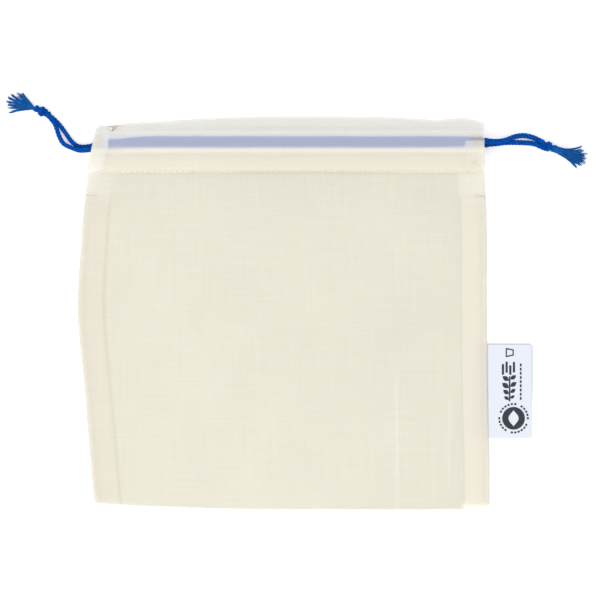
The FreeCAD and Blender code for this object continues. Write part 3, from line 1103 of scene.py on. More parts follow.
    def hem_half(self, side: Side, face: Face) -> bpy.types.Object:
        """One half of a casing's turned-in layer, with its raw edge turned under.

        Args:
            side: Which half of the bag.
            face: Which face of the bag.

        Returns:
            The new piece.
        """
        across = self.columns()
        level = self.plan(side, face, across, np.array([1.0]))[0][0]
        top = self.mouth(level, face)
        keys_y = [(0.0, 0.0), (0.3, 0.012), (0.8, 0.04), (3.0, 0.15), (7.0, 0.30), (11.0, 0.60), (15.0, 0.80),
                  (19.0, 0.97), (19.8, 1.0), (20.6, 0.985), (24.0, 0.82), (28.5, 0.66)]
        keys_z = [
            (0.0, 13.02), (0.3, 12.75), (0.8, 12.45), (3.0, 11.3), (7.0, 9.75),
            (11.0, 9.65), (15.0, 11.4), (19.0, 13.0), (19.8, 13.08), (20.6, 13.16),
            (24.0, 12.75), (28.5, 12.3),
        ]
        turn, fall, tuck = np.linspace(0, 0.8, 6), np.linspace(1.2, 19, 34), np.linspace(19.3, 28.5, 24)
        share = np.concatenate([turn, fall, tuck])
        down = eased_path(share, keys_y)
        height = eased_path(share, keys_z) * MM
        if face is Face.REAR:
            height = self.casing_z + self.rear_z - height
        line_y = top[None, :] + (self.hem_y - 1.2 * MM - top[None, :]) * down[:, None]
        x = np.broadcast_to(level[None, :], line_y.shape) * (1 - 0.004 * np.clip(down, 0, 1))[:, None]
        ripple = 0.12 * MM * rolling_noise(x, line_y, 0.005, 0.05, 4.4 + face.value)
        ripple = ripple * ease(share, 1.0, 4.0)[:, None]
        places = np.stack([x, line_y, np.broadcast_to(height[:, None], x.shape) + ripple], axis=-1)
        travelled = np.broadcast_to((share * 1.3 * MM)[:, None], x.shape)
        shape = Shape()
        turned = (side is Side.LEFT) == (face is Face.FRONT)
        shape.add_grid(places, np.stack([x, travelled + 0.3], axis=-1), flip=not turned)
        piece = shape.piece(f"{side.word}_{face.word}_casing_hem")
        # Painted warm shade on the rear hem, seen through the front's dent.
        if side is Side.LEFT and face is Face.REAR:
            flat = places.reshape(-1, 3) / MM
            beside_dent = np.exp(-((flat[:, 0] + self.dent_x) / 4.6) ** 2)
            mark_points(piece, "doubled", beside_dent * ease(flat[:, 1], 106.0, 110.0))
        return piece

    def allowance_strip(self, side: Side) -> bpy.types.Object:
        """The two turned-in layers beside a side seam, as one folded strip.

        Args:
            side: Which half of the bag.

        Returns:
            The new piece.
        """
        width = np.linspace(0.0, self.allowance - 0.6 * MM, 14)
        inset = np.concatenate([width[::-1], width]) + 0.6 * MM
        levels = np.concatenate([np.full(14, 0.62 * MM), np.full(14, 1.42 * MM)])
        levels[13], levels[14] = 0.85 * MM, 1.15 * MM
        up = np.linspace(-self.half_height + 1.0 * MM, self.slit_y - 1.5 * MM, 140)
        y = np.broadcast_to(up[:, None], (140, 28))
        frayed = 0.5 * MM * rolling_noise(y * 0, y, 1.0, 0.004, 8.0 + side.value)
        frayed = frayed * (inset[None, :] > 0.9 * self.allowance)
        x = side.value * (self.edge(side, y) - inset[None, :] - frayed)
        y = np.maximum(y, self.bottom(x) + 0.9 * MM)
        ripple = 0.15 * MM * rolling_noise(x, y, 0.01, 0.02, 7.0 + side.value)
        places = np.stack([x, y, np.broadcast_to(levels[None, :], x.shape) + ripple], axis=-1)
        shape = Shape()
        shape.add_grid(places, np.stack([x + 0.5, y], axis=-1), flip=side is Side.LEFT)
        return shape.piece(f"{side.word}_seam_allowance_cloth")

    def casing_facing(self, side: Side) -> bpy.types.Object:
        """The facings at one end of the casings, folded back inside each face.

        Args:
            side: Which half of the bag.

        Returns:
            The new piece.
        """
        shape = Shape()
        share = np.concatenate([[0.0, 0.01, 0.025, 0.045, 0.07], np.linspace(0.1, 1.0, 16)])
        front_high = 111.5 * MM if side is Side.LEFT else 103.6 * MM
        spans = ((Face.FRONT, self.hem_y + 0.8 * MM, front_high), (Face.REAR, 91.5 * MM, 111.0 * MM))
        for face, low, high in spans:
            up = np.linspace(low, high, 26)
            y = np.broadcast_to(up[:, None], (26, len(share)))
            fray = 0.35 * MM * rolling_noise(y * 0, y, 1.0, 0.003, 5.0)
            reach = self.facing * (0.72 if side is Side.LEFT else 0.88) + fray * 2
            x = side.value * (self.edge(side, y) - 0.15 * MM - reach * share[None, :])
            sunk = 0.25 * MM * rounded(share * self.facing, 0.4 * MM)[None, :]
            if face is Face.FRONT:
                z = self.front_z(side, x, y) - 0.08 * MM - sunk
            else:
                z = self.rear_z_at(side, x, y) + 0.08 * MM + sunk
            flip = (side is Side.LEFT) == (face is Face.FRONT)
            shape.add_grid(np.stack([x, y, z], axis=-1), np.stack([x, y + 0.7], axis=-1), flip=flip)
        return shape.piece(f"{side.word}_casing_facing")

    def build(self, finishes: Finishes) -> None:
        """Build and dress all the cloth, and hide the model's own cloth parts.

        Args:
            finishes: The bag's materials.
        """
        for side in Side:
            body = self.body_half(side)
            finishes.dress(body, "cloth")
            extras = []
            for face in Face:
                hem = self.hem_half(side, face)
                finishes.dress(hem, "hem")
                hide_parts(f"{face.word}_casing_hem")
                extras.append(hem)
            strip = self.allowance_strip(side)
            finishes.dress(strip, f"{side.word}_seam")
            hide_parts(f"{side.word}_seam_allowance")
            facing = self.casing_facing(side)
            finishes.dress(facing, f"{side.word}_facing")
            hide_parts(f"{side.word}_casing_end")
            extras += [strip, facing]
            for piece in [body, *extras]:
                self.blend_cloth(piece, side)
                LOG.info("cloth piece %s, %d faces", piece.name, len(piece.data.polygons))
            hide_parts("front_panel", "rear_panel")


def rounded(distance: np.ndarray, radius: float) -> np.ndarray:
    """A quarter round: 0 at an edge and 1 from one radius inwards."""
    share = np.clip(1 - np.asarray(distance, float) / radius, 0.0, 1.0)
    return np.sqrt(1 - share ** 2)


def mark_points(piece: bpy.types.Object, name: str, values: np.ndarray) -> None:
    """Keep one number for each of a piece's points, for its finish to read."""
    layer = piece.data.attributes.new(name, "FLOAT", "POINT")
    layer.data.foreach_set("value", np.asarray(values, np.float32))


def pick(piece: bpy.types.Object) -> None:
    """Select one piece alone and make it active.

    Args:
        piece: The piece to work on.
    """
    deselect_all()
    piece.select_set(True)
    bpy.context.view_layer.objects.active = piece


def thicken(piece: bpy.types.Object, thickness: float, offset: float) -> None:
    """Give a sheet its thickness.

    Args:
        piece: The sheet.
        thickness: How thick it becomes.
        offset: Which way it grows, from -1 to 1.
    """
    pick(piece)
    wall = piece.modifiers.new("ribbon thickness", "SOLIDIFY")
    wall.thickness = thickness
    wall.offset = offset
    bpy.ops.object.modifier_apply(modifier=wall.name)
    deselect_all()


def weld(piece: bpy.types.Object, reach: float) -> None:
    """Join the points of a piece that lie on each other.

    Args:
        piece: The piece to work on.
        reach: How close the points lie.
    """
    pick(piece)
    bpy.ops.object.mode_set(mode="EDIT")
    bpy.ops.mesh.select_all(action="SELECT")
    bpy.ops.mesh.remove_doubles(threshold=reach)
    bpy.ops.object.mode_set(mode="OBJECT")
    deselect_all()


# ---------------------------------------------------------------- stitching


@dataclass
class Stitching:
    """The sewing threads: hem stitches, seam zigzags, overlocking and bartacks."""

    cloth: BagCloth
    radius: float = 0.17 * MM
    hem_stitch: float = 2.6 * MM
    hem_pitch: float = 3.4 * MM
    zigzag_pitch: float = 3.6 * MM
    zigzag_in: float = 2.2 * MM
    zigzag_out: float = 5.0 * MM
    loose_radius: float = 0.13 * MM

    def hem_row(self, side: Side, face: Face) -> bpy.types.Object:
        """Straight stitches along the hem line on one half of one face.

        Args:
            side: Which half of the bag.
            face: Which face of the bag.

        Returns:
            The new piece.
        """
        shape = Shape()
        reach = float(self.cloth.edge(side, np.array([self.cloth.hem_y]))[0]) - 1.5 * MM
        count = int(reach / self.hem_pitch)
        for index in range(count):
            start = (index + 0.12) * self.hem_pitch
            x = side.value * np.linspace(start, start + self.hem_stitch, 7)
            wobble = 0.18 * MM * noise.noise(Vector((index * 0.37, face.value * 3.0, 0.0)))
            y = np.full(7, self.cloth.hem_y + wobble)
            if face is Face.FRONT:
                surface = self.cloth.front_z(side, x, y)
            else:
                surface = self.cloth.casing_z + self.cloth.rear_z - 12.9 * MM
            arch = np.array([-0.2, 0.03, 0.10, 0.12, 0.10, 0.03, -0.2]) * MM
            line = np.stack([x, y, surface + arch], axis=-1)
            shape.add_tube(line, np.full(7, self.radius), 6, index * 0.004)
        return shape.piece(f"{side.word}_{face.word}_hem_stitches")

    def seam_zigzag(self, side: Side) -> bpy.types.Object:
        """The overedge stitches that show faintly through the cloth beside a seam.

        Args:
            side: Which half of the bag.

        Returns:
            The new piece.
        """
        shape = Shape()
        points = []
        y = -self.cloth.half_height + 3 * MM
        index = 0
        while y < self.cloth.slit_y - 3 * MM:
            edge = float(self.cloth.edge(side, np.array([y]))[0])
            inset = self.zigzag_in if index % 2 == 0 else self.zigzag_out
            slip = 0.3 * MM * noise.noise(Vector((index * 0.61, side.value * 2.0, 4.0)))
            points.append((side.value * (edge - inset + slip), y, 1.72 * MM))
            y += self.zigzag_pitch / 2
            index += 1
        line = spaced(np.array(points), 0.6 * MM)
        shape.add_tube(line, np.full(len(line), self.radius), 5)
        return shape.piece(f"{side.word}_seam_zigzag")

    def overlock(self, side: Side) -> bpy.types.Object:
        """The thread wound over an allowance's raw edge.

        Args:
            side: Which half of the bag.

        Returns:
            The new piece.
        """
        shape = Shape()
        turns = np.arange(-self.cloth.half_height + 2.5 * MM, self.cloth.slit_y - 3 * MM, 0.3 * MM)
        angle = turns / (2.4 * MM) * 2 * math.pi
        edge = self.cloth.edge(side, turns)
        inset = self.cloth.allowance + 0.1 * MM + 1.3 * MM * (np.sin(angle) - 1) / 2
        z = 1.02 * MM + 0.62 * MM * np.cos(angle)
        line = np.stack([side.value * (edge - inset), turns, z], axis=-1)
        shape.add_tube(line, np.full(len(line), self.radius), 5)
        return shape.piece(f"{side.word}_overlock_loops")

    def bartack(self, side: Side) -> bpy.types.Object:
        """The close stitches across a seam, just under its slit.

        Args:
            side: Which half of the bag.

        Returns:
            The new piece.
        """
        shape = Shape()
        y_low = self.cloth.slit_y - 1.5 * MM
        share = np.linspace(0.0, 1.0, 90)
        wave = np.sin(share * math.pi * 26)
        y = y_low + 0.5 * MM + 0.5 * MM * wave
        x = side.value * (self.cloth.edge(side, y) - 1.0 * MM - 6.0 * MM * share)
        z = self.cloth.front_z(side, x, y) + 0.1 * MM
        shape.add_tube(np.stack([x, y, z], axis=-1), np.full(90, self.radius), 5)
        return shape.piece(f"{side.word}_bartack_stitches")

    def loose_ends(self) -> bpy.types.Object:
        """Three short thread tails at the right end of the hem line.

        Returns:
            The new piece.
        """
        shape = Shape()
        for x, y, turn, reach in ((100.0, 88.0, 0.4, 4.5), (110.0, 89.5, 2.2, 5.5), (113.5, 91.0, -0.6, 3.5)):
            share = np.linspace(0.0, 1.0, 18)
            angle = turn + 2.6 * share + 0.6 * np.sin(share * 7 + x)
            step = reach / 18
            px = (x + np.cumsum(np.cos(angle)) * step) * MM
            py = (y + np.cumsum(np.sin(angle)) * step) * MM
            z = self.cloth.front_z(Side.RIGHT, px, py) + 0.15 * MM
            shape.add_tube(np.stack([px, py, z], axis=-1), np.full(18, self.loose_radius), 5, x * MM)
        return shape.piece("right_loose_thread_ends")

    def build(self, finishes: Finishes) -> None:
        """Build and dress every row of stitches.

        Args:
            finishes: The bag's materials.
        """
        for side in Side:
            rows = {
                self.seam_zigzag(side): [f"{side.word}_seam_thread"],
                self.overlock(side): [f"{side.word}_overlock_thread"],
                self.bartack(side): [f"{side.word}_slit_bartack"],
            }
            for face in Face:
                rows[self.hem_row(side, face)] = [f"{face.word}_hem_thread"]
            if side is Side.RIGHT:
                rows[self.loose_ends()] = []
            for row, nodes in rows.items():
                finishes.dress(row, "thread")
                if nodes:
                    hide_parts(*nodes)
                self.cloth.blend_cloth(row, side)
                LOG.info("stitches %s, %d faces", row.name, len(row.data.polygons))


# ---------------------------------------------------------------- drawstrings


@dataclass
class Bundle:
    """One lock of a tassel: where its tip lies, and how it bends on the way."""

    tip: Spot
    bow: float = 0.0
    fibres: int = 14
    loose: float = 0.75


@dataclass
class Drawstring:
    """One drawstring: a loop in the casings, two tails, a knot and a tassel."""

    side: Side
    upper_route: list[Place]
    lower_route: list[Place]
    front_y: float
    rear_y: float
    knot_centre: Place
    knot_direction: Spot
    tassel_start: Place
    bundles: list[Bundle]
    diameter: float = 2.6 * MM
    exit_shift: Spot = (0.0, 0.0)
    turn_shift: float = 0.0
    flare: float = 1.15
    neck: float = 0.8
    plump: float = 1.12
    strand_pitch: float = 6.2 * MM
    strands: int = 3
    thinnest: float = 0.26 * MM
    front_z: float = 11.35 * MM
    rear_z: float = 2.55 * MM

    @property
    def body(self) -> str:
        """The body that this drawstring rides on."""
        return f"{self.side.word}_drawstring"

    def twisted(self, shape: Shape, line: np.ndarray, radius: float, start_angle: float = 0.0,
                wide: float = 1.0) -> None:
        """Lay twisted strands along a line.

        Args:
            shape: Takes the strands.
            line: The cord's middle line.
            radius: The cord's outer radius.
            start_angle: Where the first strand starts.
            wide: How much wider along Y a pressed cord lies.
        """
        line = spaced(line, 0.55 * MM)
        _, first, second = carried_frames(line)
        travelled = np.linspace(0.0, length_of(line), len(line))
        strand_radius = radius * 0.54
        for number in range(self.strands):
            angle = start_angle + 2 * math.pi * (number / self.strands + travelled / self.strand_pitch)
            reach = radius - strand_radius
            offset = reach * (np.cos(angle)[:, None] * first + np.sin(angle)[:, None] * second)
            offset[:, 1] *= wide
            radii = np.full(len(line), strand_radius * math.sqrt(wide))
            shape.add_tube(line + offset, radii, 10, number * 0.013)

    def fuzz(self, shape: Shape, line: np.ndarray, radius: float, spacing: float, seed: int) -> None:
        """Let short fibres stand off a cord.

        Args:
            shape: Takes the fibres.
            line: The cord's middle line.
            radius: The cord's radius.
            spacing: The distance between fibres.
            seed: Picks where they stand.
        """
        random = np.random.default_rng(seed)
        line = spaced(line, spacing)
        along, first, second = carried_frames(line)
        for index in range(2, len(line) - 1):
            angle = random.uniform(0, 2 * math.pi)
            out = math.cos(angle) * first[index] + math.sin(angle) * second[index]
            lean = along[index] * random.uniform(-0.9, 0.9)
            reach = random.uniform(0.3, 0.75) * MM
            share = np.linspace(0.0, 1.0, 4)[:, None]
            fibre = line[index] + out * (radius * 0.9 + share * reach) + lean * reach * share ** 2
            fibre[:, 2] = np.maximum(fibre[:, 2], 0.1 * MM)
            shape.add_tube(fibre, np.array([0.05, 0.045, 0.035, 0.02]) * MM, 3, index * 0.01)

    def casing_loop(self) -> np.ndarray:
        """The line of the cord inside the casings: in, round the far end and back.

        Returns:
            Points along the cord.
        """
        turned = -self.side.value
        exit_x, turn_x = self.upper_route[0][0] * MM, self.turn_x()
        front = np.array([turn_x, self.front_y, self.front_z])
        rear = np.array([turn_x, self.rear_y, self.rear_z])
        centre, half = (front + rear) / 2, (front - rear) / 2
        angles = np.linspace(0.0, math.pi, 22)
        tip = np.array([turned * np.linalg.norm(half), 0.0, 0.0])
        bend = centre + np.cos(angles)[:, None] * half + np.sin(angles)[:, None] * tip
        runs = np.linspace(exit_x, turn_x, 400)[:-1]
        first = np.stack([runs, np.full(399, self.front_y), np.full(399, self.front_z)], axis=-1)
        last = np.stack([runs[::-1], np.full(399, self.rear_y), np.full(399, self.rear_z)], axis=-1)
        inside = ease(np.abs(runs - exit_x), 0.0, 0.03) * ease(np.abs(runs - turn_x), 0.0, 0.03)
        sway = np.array([noise.noise(Vector((x * 28, self.front_y * 40, 0.0))) for x in runs])
        near_exit = 1 - ease(np.abs(runs - exit_x), 0.0, 0.022)
        drift = 0.5 * MM * sway * inside + self.turn_shift * (1 - ease(np.abs(runs - turn_x), 0.0, 0.028))
        bend[:, 1] += self.turn_shift
        first[:, 1] += drift + self.exit_shift[0] * near_exit
        last[:, 1] += (drift + self.exit_shift[1] * near_exit)[::-1]
        return np.concatenate([first, bend, last])

    def turn_x(self) -> float:
        """Where the loop turns, near the far end of the casings."""
        return 109.5 * MM if self.side is Side.LEFT else -111.0 * MM

    def knot_piece(self) -> bpy.types.Object:
        """Both cords tied together: a core wrapped by tight turns.

        Returns:
            The new piece.
        """
        shape = Shape()
        centre = np.array(self.knot_centre) * MM
        forward = np.array([*self.knot_direction, 0.0])
        forward /= np.linalg.norm(forward)
        sideways = np.array([-forward[1], forward[0], 0.0])
        upward = np.array([0.0, 0.0, 1.0])
        share = np.linspace(-1.0, 1.0, 30)
        for offset in (-0.6, 0.6):
            spread = sideways * (offset * MM * (1 + 0.8 * share ** 2))[:, None]
            self.twisted(shape, centre + forward * (share * 4.8 * MM)[:, None] + spread, 1.15 * MM, offset)
        turns = np.linspace(-0.7, 0.7, 70)
        angle = turns * 2 * math.pi + 1.1
        swell = 1.65 * MM - 0.5 * MM * (turns / 0.7) ** 2
        lean = 0.9 * MM * np.sin(angle + 0.4)
        wrap = (centre + forward * (turns * 1.75 * MM + lean)[:, None]
                + sideways * (np.cos(angle) * swell * 1.1)[:, None]
                + upward * (np.sin(angle) * swell * 0.85)[:, None])
        self.twisted(shape, wrap, 1.5 * MM, 0.8)
        return shape.piece(f"{self.side.word}_tied_knot")

    def tassel_piece(self, seed: int) -> bpy.types.Object:
        """The frayed ends: locks of fibres that fan out over the table.

        Args:
            seed: Picks one pattern of many.

        Returns:
            The new piece.
        """
        shape = Shape()
        random = np.random.default_rng(seed)
        start = np.array(self.tassel_start) * MM
        forward = np.array([*self.knot_direction, 0.0]) / math.hypot(*self.knot_direction)
        sideways = np.array([-forward[1], forward[0], 0.0])
        for number, bundle in enumerate(self.bundles):
            tip = np.array([bundle.tip[0] * MM, bundle.tip[1] * MM, random.uniform(0.5, 1.5) * MM])
            run = tip - start
            ahead = forward * float(run @ forward)
            aside = run - ahead
            neck = sideways * (0.9 * MM * (1 - 2 * number / max(len(self.bundles) - 1, 1)))
            for _ in range(bundle.fibres):
                share = np.linspace(0.0, random.uniform(0.86, 1.04), 14)[:, None]
                spread = random.normal(0.0, 0.45, 3) * MM * bundle.loose
                belly = random.normal(0.0, 0.6, 3) * MM * np.clip(np.sin(share * math.pi), 0.0, 1.0) ** 1.5
                root = random.uniform(-1.0, 1.0, 3) * self.neck * MM
                bow = bundle.bow * MM * np.sin(share * math.pi) * sideways
                line = start + ahead * share + aside * share ** self.flare + bow + spread * share ** 1.6
                gathered = (root + neck) * np.clip(1 - share, 0.0, 1.0) ** 1.3
                line = line + gathered + belly * min(bundle.loose, 1.0)
                line[:, 2] = np.maximum(line[:, 2], self.thinnest)
                thick = random.uniform(0.17, 0.25) * MM
                shape.add_tube(line, np.linspace(thick, thick * 0.65, 14), 5, random.uniform(0, 1))
        return shape.piece(f"{self.side.word}_frayed_tassel")

    def build(self, finishes: Finishes) -> None:
        """Args:
            finishes: The bag's materials.
        """
        word = self.side.word
        radius = self.diameter / 2
        loop = Shape()
        self.twisted(loop, self.casing_loop(), radius * self.plump, wide=1.3)
        loop_piece = loop.piece(f"{word}_cord_in_casing")
        knot, tassel = self.knot_piece(), self.tassel_piece(11 + self.side.value)
        dressed = ((loop_piece, "cord", "cord_loop"), (knot, "cord", "knot"), (tassel, "fray", "tassel"))
        for piece, finish, node in dressed:
            finishes.dress(piece, finish)
            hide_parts(f"{word}_{node}")
            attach(piece, self.body)
        for which, route in (("upper", self.upper_route), ("lower", self.lower_route)):
            name = f"{word}_tail_{which}"
            line = smooth_route(f"{name}_guide", route)
            strands, fibres = Shape(), Shape()
            self.twisted(strands, line, radius * self.plump, 0.7)
            self.fuzz(fibres, line, radius, 0.55 * MM, 5 + len(route))
            tail = strands.piece(f"{name}_cord")
            lint = fibres.piece(f"{name}_fuzz")
            finishes.dress(tail, "cord")
            finishes.dress(lint, "fray")
            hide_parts(name)
            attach(tail, self.body)
            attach(lint, self.body)
            length_of(line)
            LOG.info("cord %s is %.1f mm long", tail.name, length_of(line) / MM)


LEFT_DRAWSTRING = Drawstring(
    side=Side.LEFT,
    upper_route=[(-119.47, 98.3, 11.35), (-123.6, 97.8, 10.2), (-127.9, 98.3, 5.9), (-132.2, 100.2, 2.6),
                 (-136.6, 101.9, 1.6), (-139.2, 106.2, 1.7), (-140.7, 111.4, 2.4), (-142.4, 115.9, 3.7),
                 (-147.0, 120.3, 3.9)],
    lower_route=[(-119.47, 101.2, 2.55), (-124.0, 100.4, 2.1), (-128.6, 100.9, 1.6), (-132.2, 103.9, 1.6),
                 (-135.2, 108.4, 1.6), (-138.4, 113.0, 1.5), (-142.2, 117.2, 1.5), (-147.2, 121.0, 1.9)],
    front_y=101.3 * MM,
    rear_y=104.2 * MM,
    exit_shift=(-3.0 * MM, -3.0 * MM),
    turn_shift=1.0 * MM,
    knot_centre=(-149.4, 121.7, 2.75),
    knot_direction=(-0.88, 0.46),
    tassel_start=(-152.4, 122.9, 2.6),
    bundles=[
        Bundle((-161.2, 132.6), 0.4, 34, 0.9), Bundle((-163.6, 132.2), 0.3, 28, 1.5),
        Bundle((-168.0, 132.0), 0.4, 26), Bundle((-169.6, 130.0), 0.2, 24),
        Bundle((-170.4, 127.8), 0.0, 24), Bundle((-170.1, 125.7), -0.2, 22),
        Bundle((-169.9, 123.8), -0.4, 22), Bundle((-168.6, 121.3), -0.7, 22),
        Bundle((-166.2, 134.4), 1.4, 2, 0.2),
    ],
)
RIGHT_DRAWSTRING = Drawstring(
    side=Side.RIGHT,
    upper_route=[(117.12, 103.5, 11.35), (121.0, 103.2, 10.4), (125.4, 103.6, 6.6), (129.4, 104.8, 3.6),
                 (133.6, 106.7, 1.9), (138.4, 107.5, 1.75), (143.2, 106.7, 1.75), (147.2, 105.1, 2.0),
                 (151.2, 102.8, 2.7)],
    lower_route=[(117.12, 102.0, 2.55), (122.0, 102.3, 2.1), (127.8, 103.2, 1.75), (134.2, 103.2, 1.75),
                 (140.4, 103.0, 1.75), (145.8, 102.5, 1.8), (149.6, 100.6, 2.1), (152.2, 99.4, 2.7)],
    front_y=104.5 * MM,
    rear_y=101.6 * MM,
    exit_shift=(-1.0 * MM, 0.4 * MM),
    plump=1.28,
    turn_shift=-2.2 * MM,
    flare=2.1,
    neck=1.35,
    knot_centre=(153.6, 100.8, 2.8),
    knot_direction=(0.93, -0.36),
    tassel_start=(156.6, 99.6, 2.6),
    bundles=[
        Bundle((173.4, 100.6), 0.0, 16, 0.6), Bundle((174.2, 98.4), 0.0, 30, 1.3),
        Bundle((175.6, 96.0), 0.0, 36, 1.6), Bundle((175.8, 93.8), 0.0, 38, 1.6),
        Bundle((175.0, 91.6), 0.0, 38, 1.6), Bundle((173.2, 89.6), 0.0, 34, 1.4),
        Bundle((170.8, 87.8), 0.0, 26, 0.8),
    ],
)


# ---------------------------------------------------------------- the label


@dataclass
class RibbonLabel:
    """A satin ribbon folded in half, with plain printed marks on its upper side."""

    x_seam: float = 117.5 * MM
    x_fold: float = 144.3 * MM
    y_low: float = -74.0 * MM
    y_high: float = -17.4 * MM
    z_low: float = 0.72 * MM
    z_high: float = 1.28 * MM
    corner: float = 1.8 * MM
    ribbon: float = 0.16 * MM
    print_lift: float = 0.12 * MM
    disc_centre: Spot = (133.0, -62.1)
    ring_dashes: int = 26
    stem_x: float = 130.2

    def reach(self, x: np.ndarray) -> np.ndarray:
        """Half the label's height at a place, rounded at its outer corners."""
        past = np.clip(x - (self.x_fold - self.corner), 0.0, self.corner)
        return (self.y_high - self.y_low) / 2 - (self.corner - np.sqrt(self.corner ** 2 - past ** 2))

    def lifted(self, x: np.ndarray, y: np.ndarray) -> np.ndarray:
        """How far the ribbon curls off the table.

        Args:
            x: Places across the bag.
            y: Places up the bag.

        Returns:
            The rise at each place.
        """
        out = np.clip((x - self.x_seam) / (self.x_fold - self.x_seam), 0.0, 1.0)
        middle = (self.y_low + self.y_high) / 2
        up = (y - middle) / (self.y_high - middle)
        return MM * (0.25 * out ** 2 + 0.35 * out ** 2 * up ** 2 + 0.10 * np.sin(y * 160 + 1.0) * out)

    def ribbon_piece(self) -> bpy.types.Object:
        """The folded ribbon, from its lower layer round the fold to its upper one.

        Returns:
            The new piece.
        """
        flat = np.concatenate([np.linspace(0.0, 0.965, 20), [0.98, 0.99, 1.0]])
        turn = np.linspace(0.0, math.pi, 9)[1:-1]
        half_gap = (self.z_high - self.z_low) / 2
        end = self.x_fold - half_gap
        lower_x = self.x_seam + (end - self.x_seam) * flat
        x = np.concatenate([lower_x, end + half_gap * np.sin(turn), lower_x[::-1]])
        z = np.concatenate([np.full(23, -half_gap), -half_gap * np.cos(turn), np.full(23, half_gap)])
        up = np.concatenate([[-1.0, -0.99, -0.98], np.linspace(-0.96, 0.96, 42), [0.98, 0.99, 1.0]])
        middle = (self.y_low + self.y_high) / 2
        grid_x = np.broadcast_to(x[None, :], (len(up), len(x)))
        y = middle + up[:, None] * self.reach(grid_x)
        grid_z = z[None, :] + (self.z_low + self.z_high) / 2 + self.lifted(grid_x, y)
        travelled = np.concatenate([[0.0], np.cumsum(np.hypot(np.diff(x), np.diff(z)))])
        pattern = np.stack([np.broadcast_to(travelled[None, :], y.shape), y], axis=-1)
        shape = Shape()
        shape.add_grid(np.stack([grid_x, y, grid_z], axis=-1), pattern, flip=True)
        piece = shape.piece("folded_ribbon_label")
        thicken(piece, self.ribbon, -1.0)
        places = np.array([vertex.co for vertex in piece.data.vertices])
        # Painted shadow line along the label's top edge and its fold.
        top = 1 - ease(self.y_high - places[:, 1], 0.1 * MM, 0.7 * MM)
        fold = 1 - ease(self.x_fold - places[:, 0], 0.1 * MM, 0.6 * MM)
        fold = fold * ease(places[:, 1], -60 * MM, -40 * MM)
        mark_points(piece, "edge_shadow", 0.8 * np.maximum(top, fold))
        return piece

    def flat_mark(self, name: str, points: Outline) -> bpy.types.Object:
        """One printed shape, drawn as a filled outline and draped on the ribbon.

        Args:
            name: The mark's name.
            points: Its outline, in millimetres.

        Returns:
            The mark as a thin mesh.
        """
        deselect_all()
        middle = np.mean(np.array(points), axis=0) * MM
        bpy.ops.mesh.primitive_circle_add(vertices=len(points), radius=MM, fill_type="NGON",
                                          location=(middle[0], middle[1], 0.0))
        mark = bpy.context.object
        mark.name = name
        bpy.ops.object.transform_apply(location=True, rotation=True, scale=True)
        for vertex, point in zip(mark.data.vertices, points):
            vertex.co = (point[0] * MM, point[1] * MM, 0.0)
        bpy.ops.object.mode_set(mode="EDIT")
        bpy.ops.mesh.select_all(action="SELECT")
        bpy.ops.mesh.normals_make_consistent(inside=False)
        bpy.ops.mesh.quads_convert_to_tris(quad_method="BEAUTY", ngon_method="BEAUTY")
        bpy.ops.mesh.subdivide(number_cuts=2)
        bpy.ops.object.mode_set(mode="OBJECT")
        places = np.array([vertex.co[:] for vertex in mark.data.vertices])
        height = self.z_high + self.lifted(places[:, 0], places[:, 1]) + self.print_lift
        for vertex, level in zip(mark.data.vertices, height):
            vertex.co.z = level
        if sum(face.normal.z for face in mark.data.polygons) < 0:
            mark.data.flip_normals()
        return mark

    def marks(self) -> list[bpy.types.Object]:
        """All the printed marks: a leaf in a disc, a ring of dashes, a sprig, rules and a cup.

        Returns:
            The marks, one object each.
        """
        made = [self.flat_mark("label_print_disc", half_disc) for half_disc in leaf_disc(self.disc_centre, 6.8)]
        for index in range(self.ring_dashes):
            if index % 13 in (5, 12):
                continue
            angle = 2 * math.pi * index / self.ring_dashes
            made.append(self.flat_mark("label_print_dash", ring_dash(self.disc_centre, 8.0, 9.1, angle, 0.13)))
        for level, size in ((-51.0, 3.4), (-47.6, 4.2), (-43.9, 5.0), (-39.6, 4.6)):
            spot, beside = (self.stem_x, level), (self.stem_x + 0.9, level + 0.8)
            made.append(self.flat_mark("label_print_leaf", leaf_outline(spot, size, 0.95)))
            made.append(self.flat_mark("label_print_leaf", leaf_outline(beside, size * 0.9, -0.95)))
        made.append(self.flat_mark("label_print_stem", bar((self.stem_x, -52.0), (131.1, -37.0))))
        for row, (low, high) in enumerate(((-36.0, -29.6), (-34.8, -28.2), (-36.0, -30.4), (-34.6, -28.4))):
            left = 126.0 + 2.2 * row
            made.append(self.flat_mark("label_print_rule", bar((left, low), (left + 1.3, high))))
        for index in range(9):
            low = -51.0 + 2.5 * index
            made.append(self.flat_mark("label_print_dash", bar((136.8, low), (137.8, low + 1.7))))
        made.append(self.flat_mark("label_print_cup", bar((128.3, -25.4), (129.0, -20.0))))
        lower_side = [(129.0, -25.4), (132.6, -24.6), (132.6, -23.9), (129.0, -24.6)]
        upper_side = [(129.0, -20.8), (132.6, -21.5), (132.6, -20.8), (129.0, -20.0)]
        made.append(self.flat_mark("label_print_cup", lower_side))
        made.append(self.flat_mark("label_print_cup", upper_side))
        made.append(self.flat_mark("label_print_cup", bar((132.4, -24.6), (133.1, -20.8))))
        return made

    def seam_tab(self) -> bpy.types.Object:
        """The ribbon's end inside the seam.

        Returns:
            The new piece.
        """
        low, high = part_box("label_seam_tab")
        x = np.linspace(low.x, self.x_seam + 0.4 * MM, 10)
        y = np.linspace(low.y, high.y, 24)
        grid_x, grid_y = np.meshgrid(x, y)
        z = (low.z + high.z) / 2 + 0.05 * MM * np.sin(grid_y * 300)
        shape = Shape()
        pattern = np.stack([grid_x, grid_y], axis=-1)
        shape.add_grid(np.stack([grid_x, grid_y, z], axis=-1), pattern, flip=False)
        piece = shape.piece("label_tab_in_seam")
        thicken(piece, self.ribbon, 0.0)
        return piece

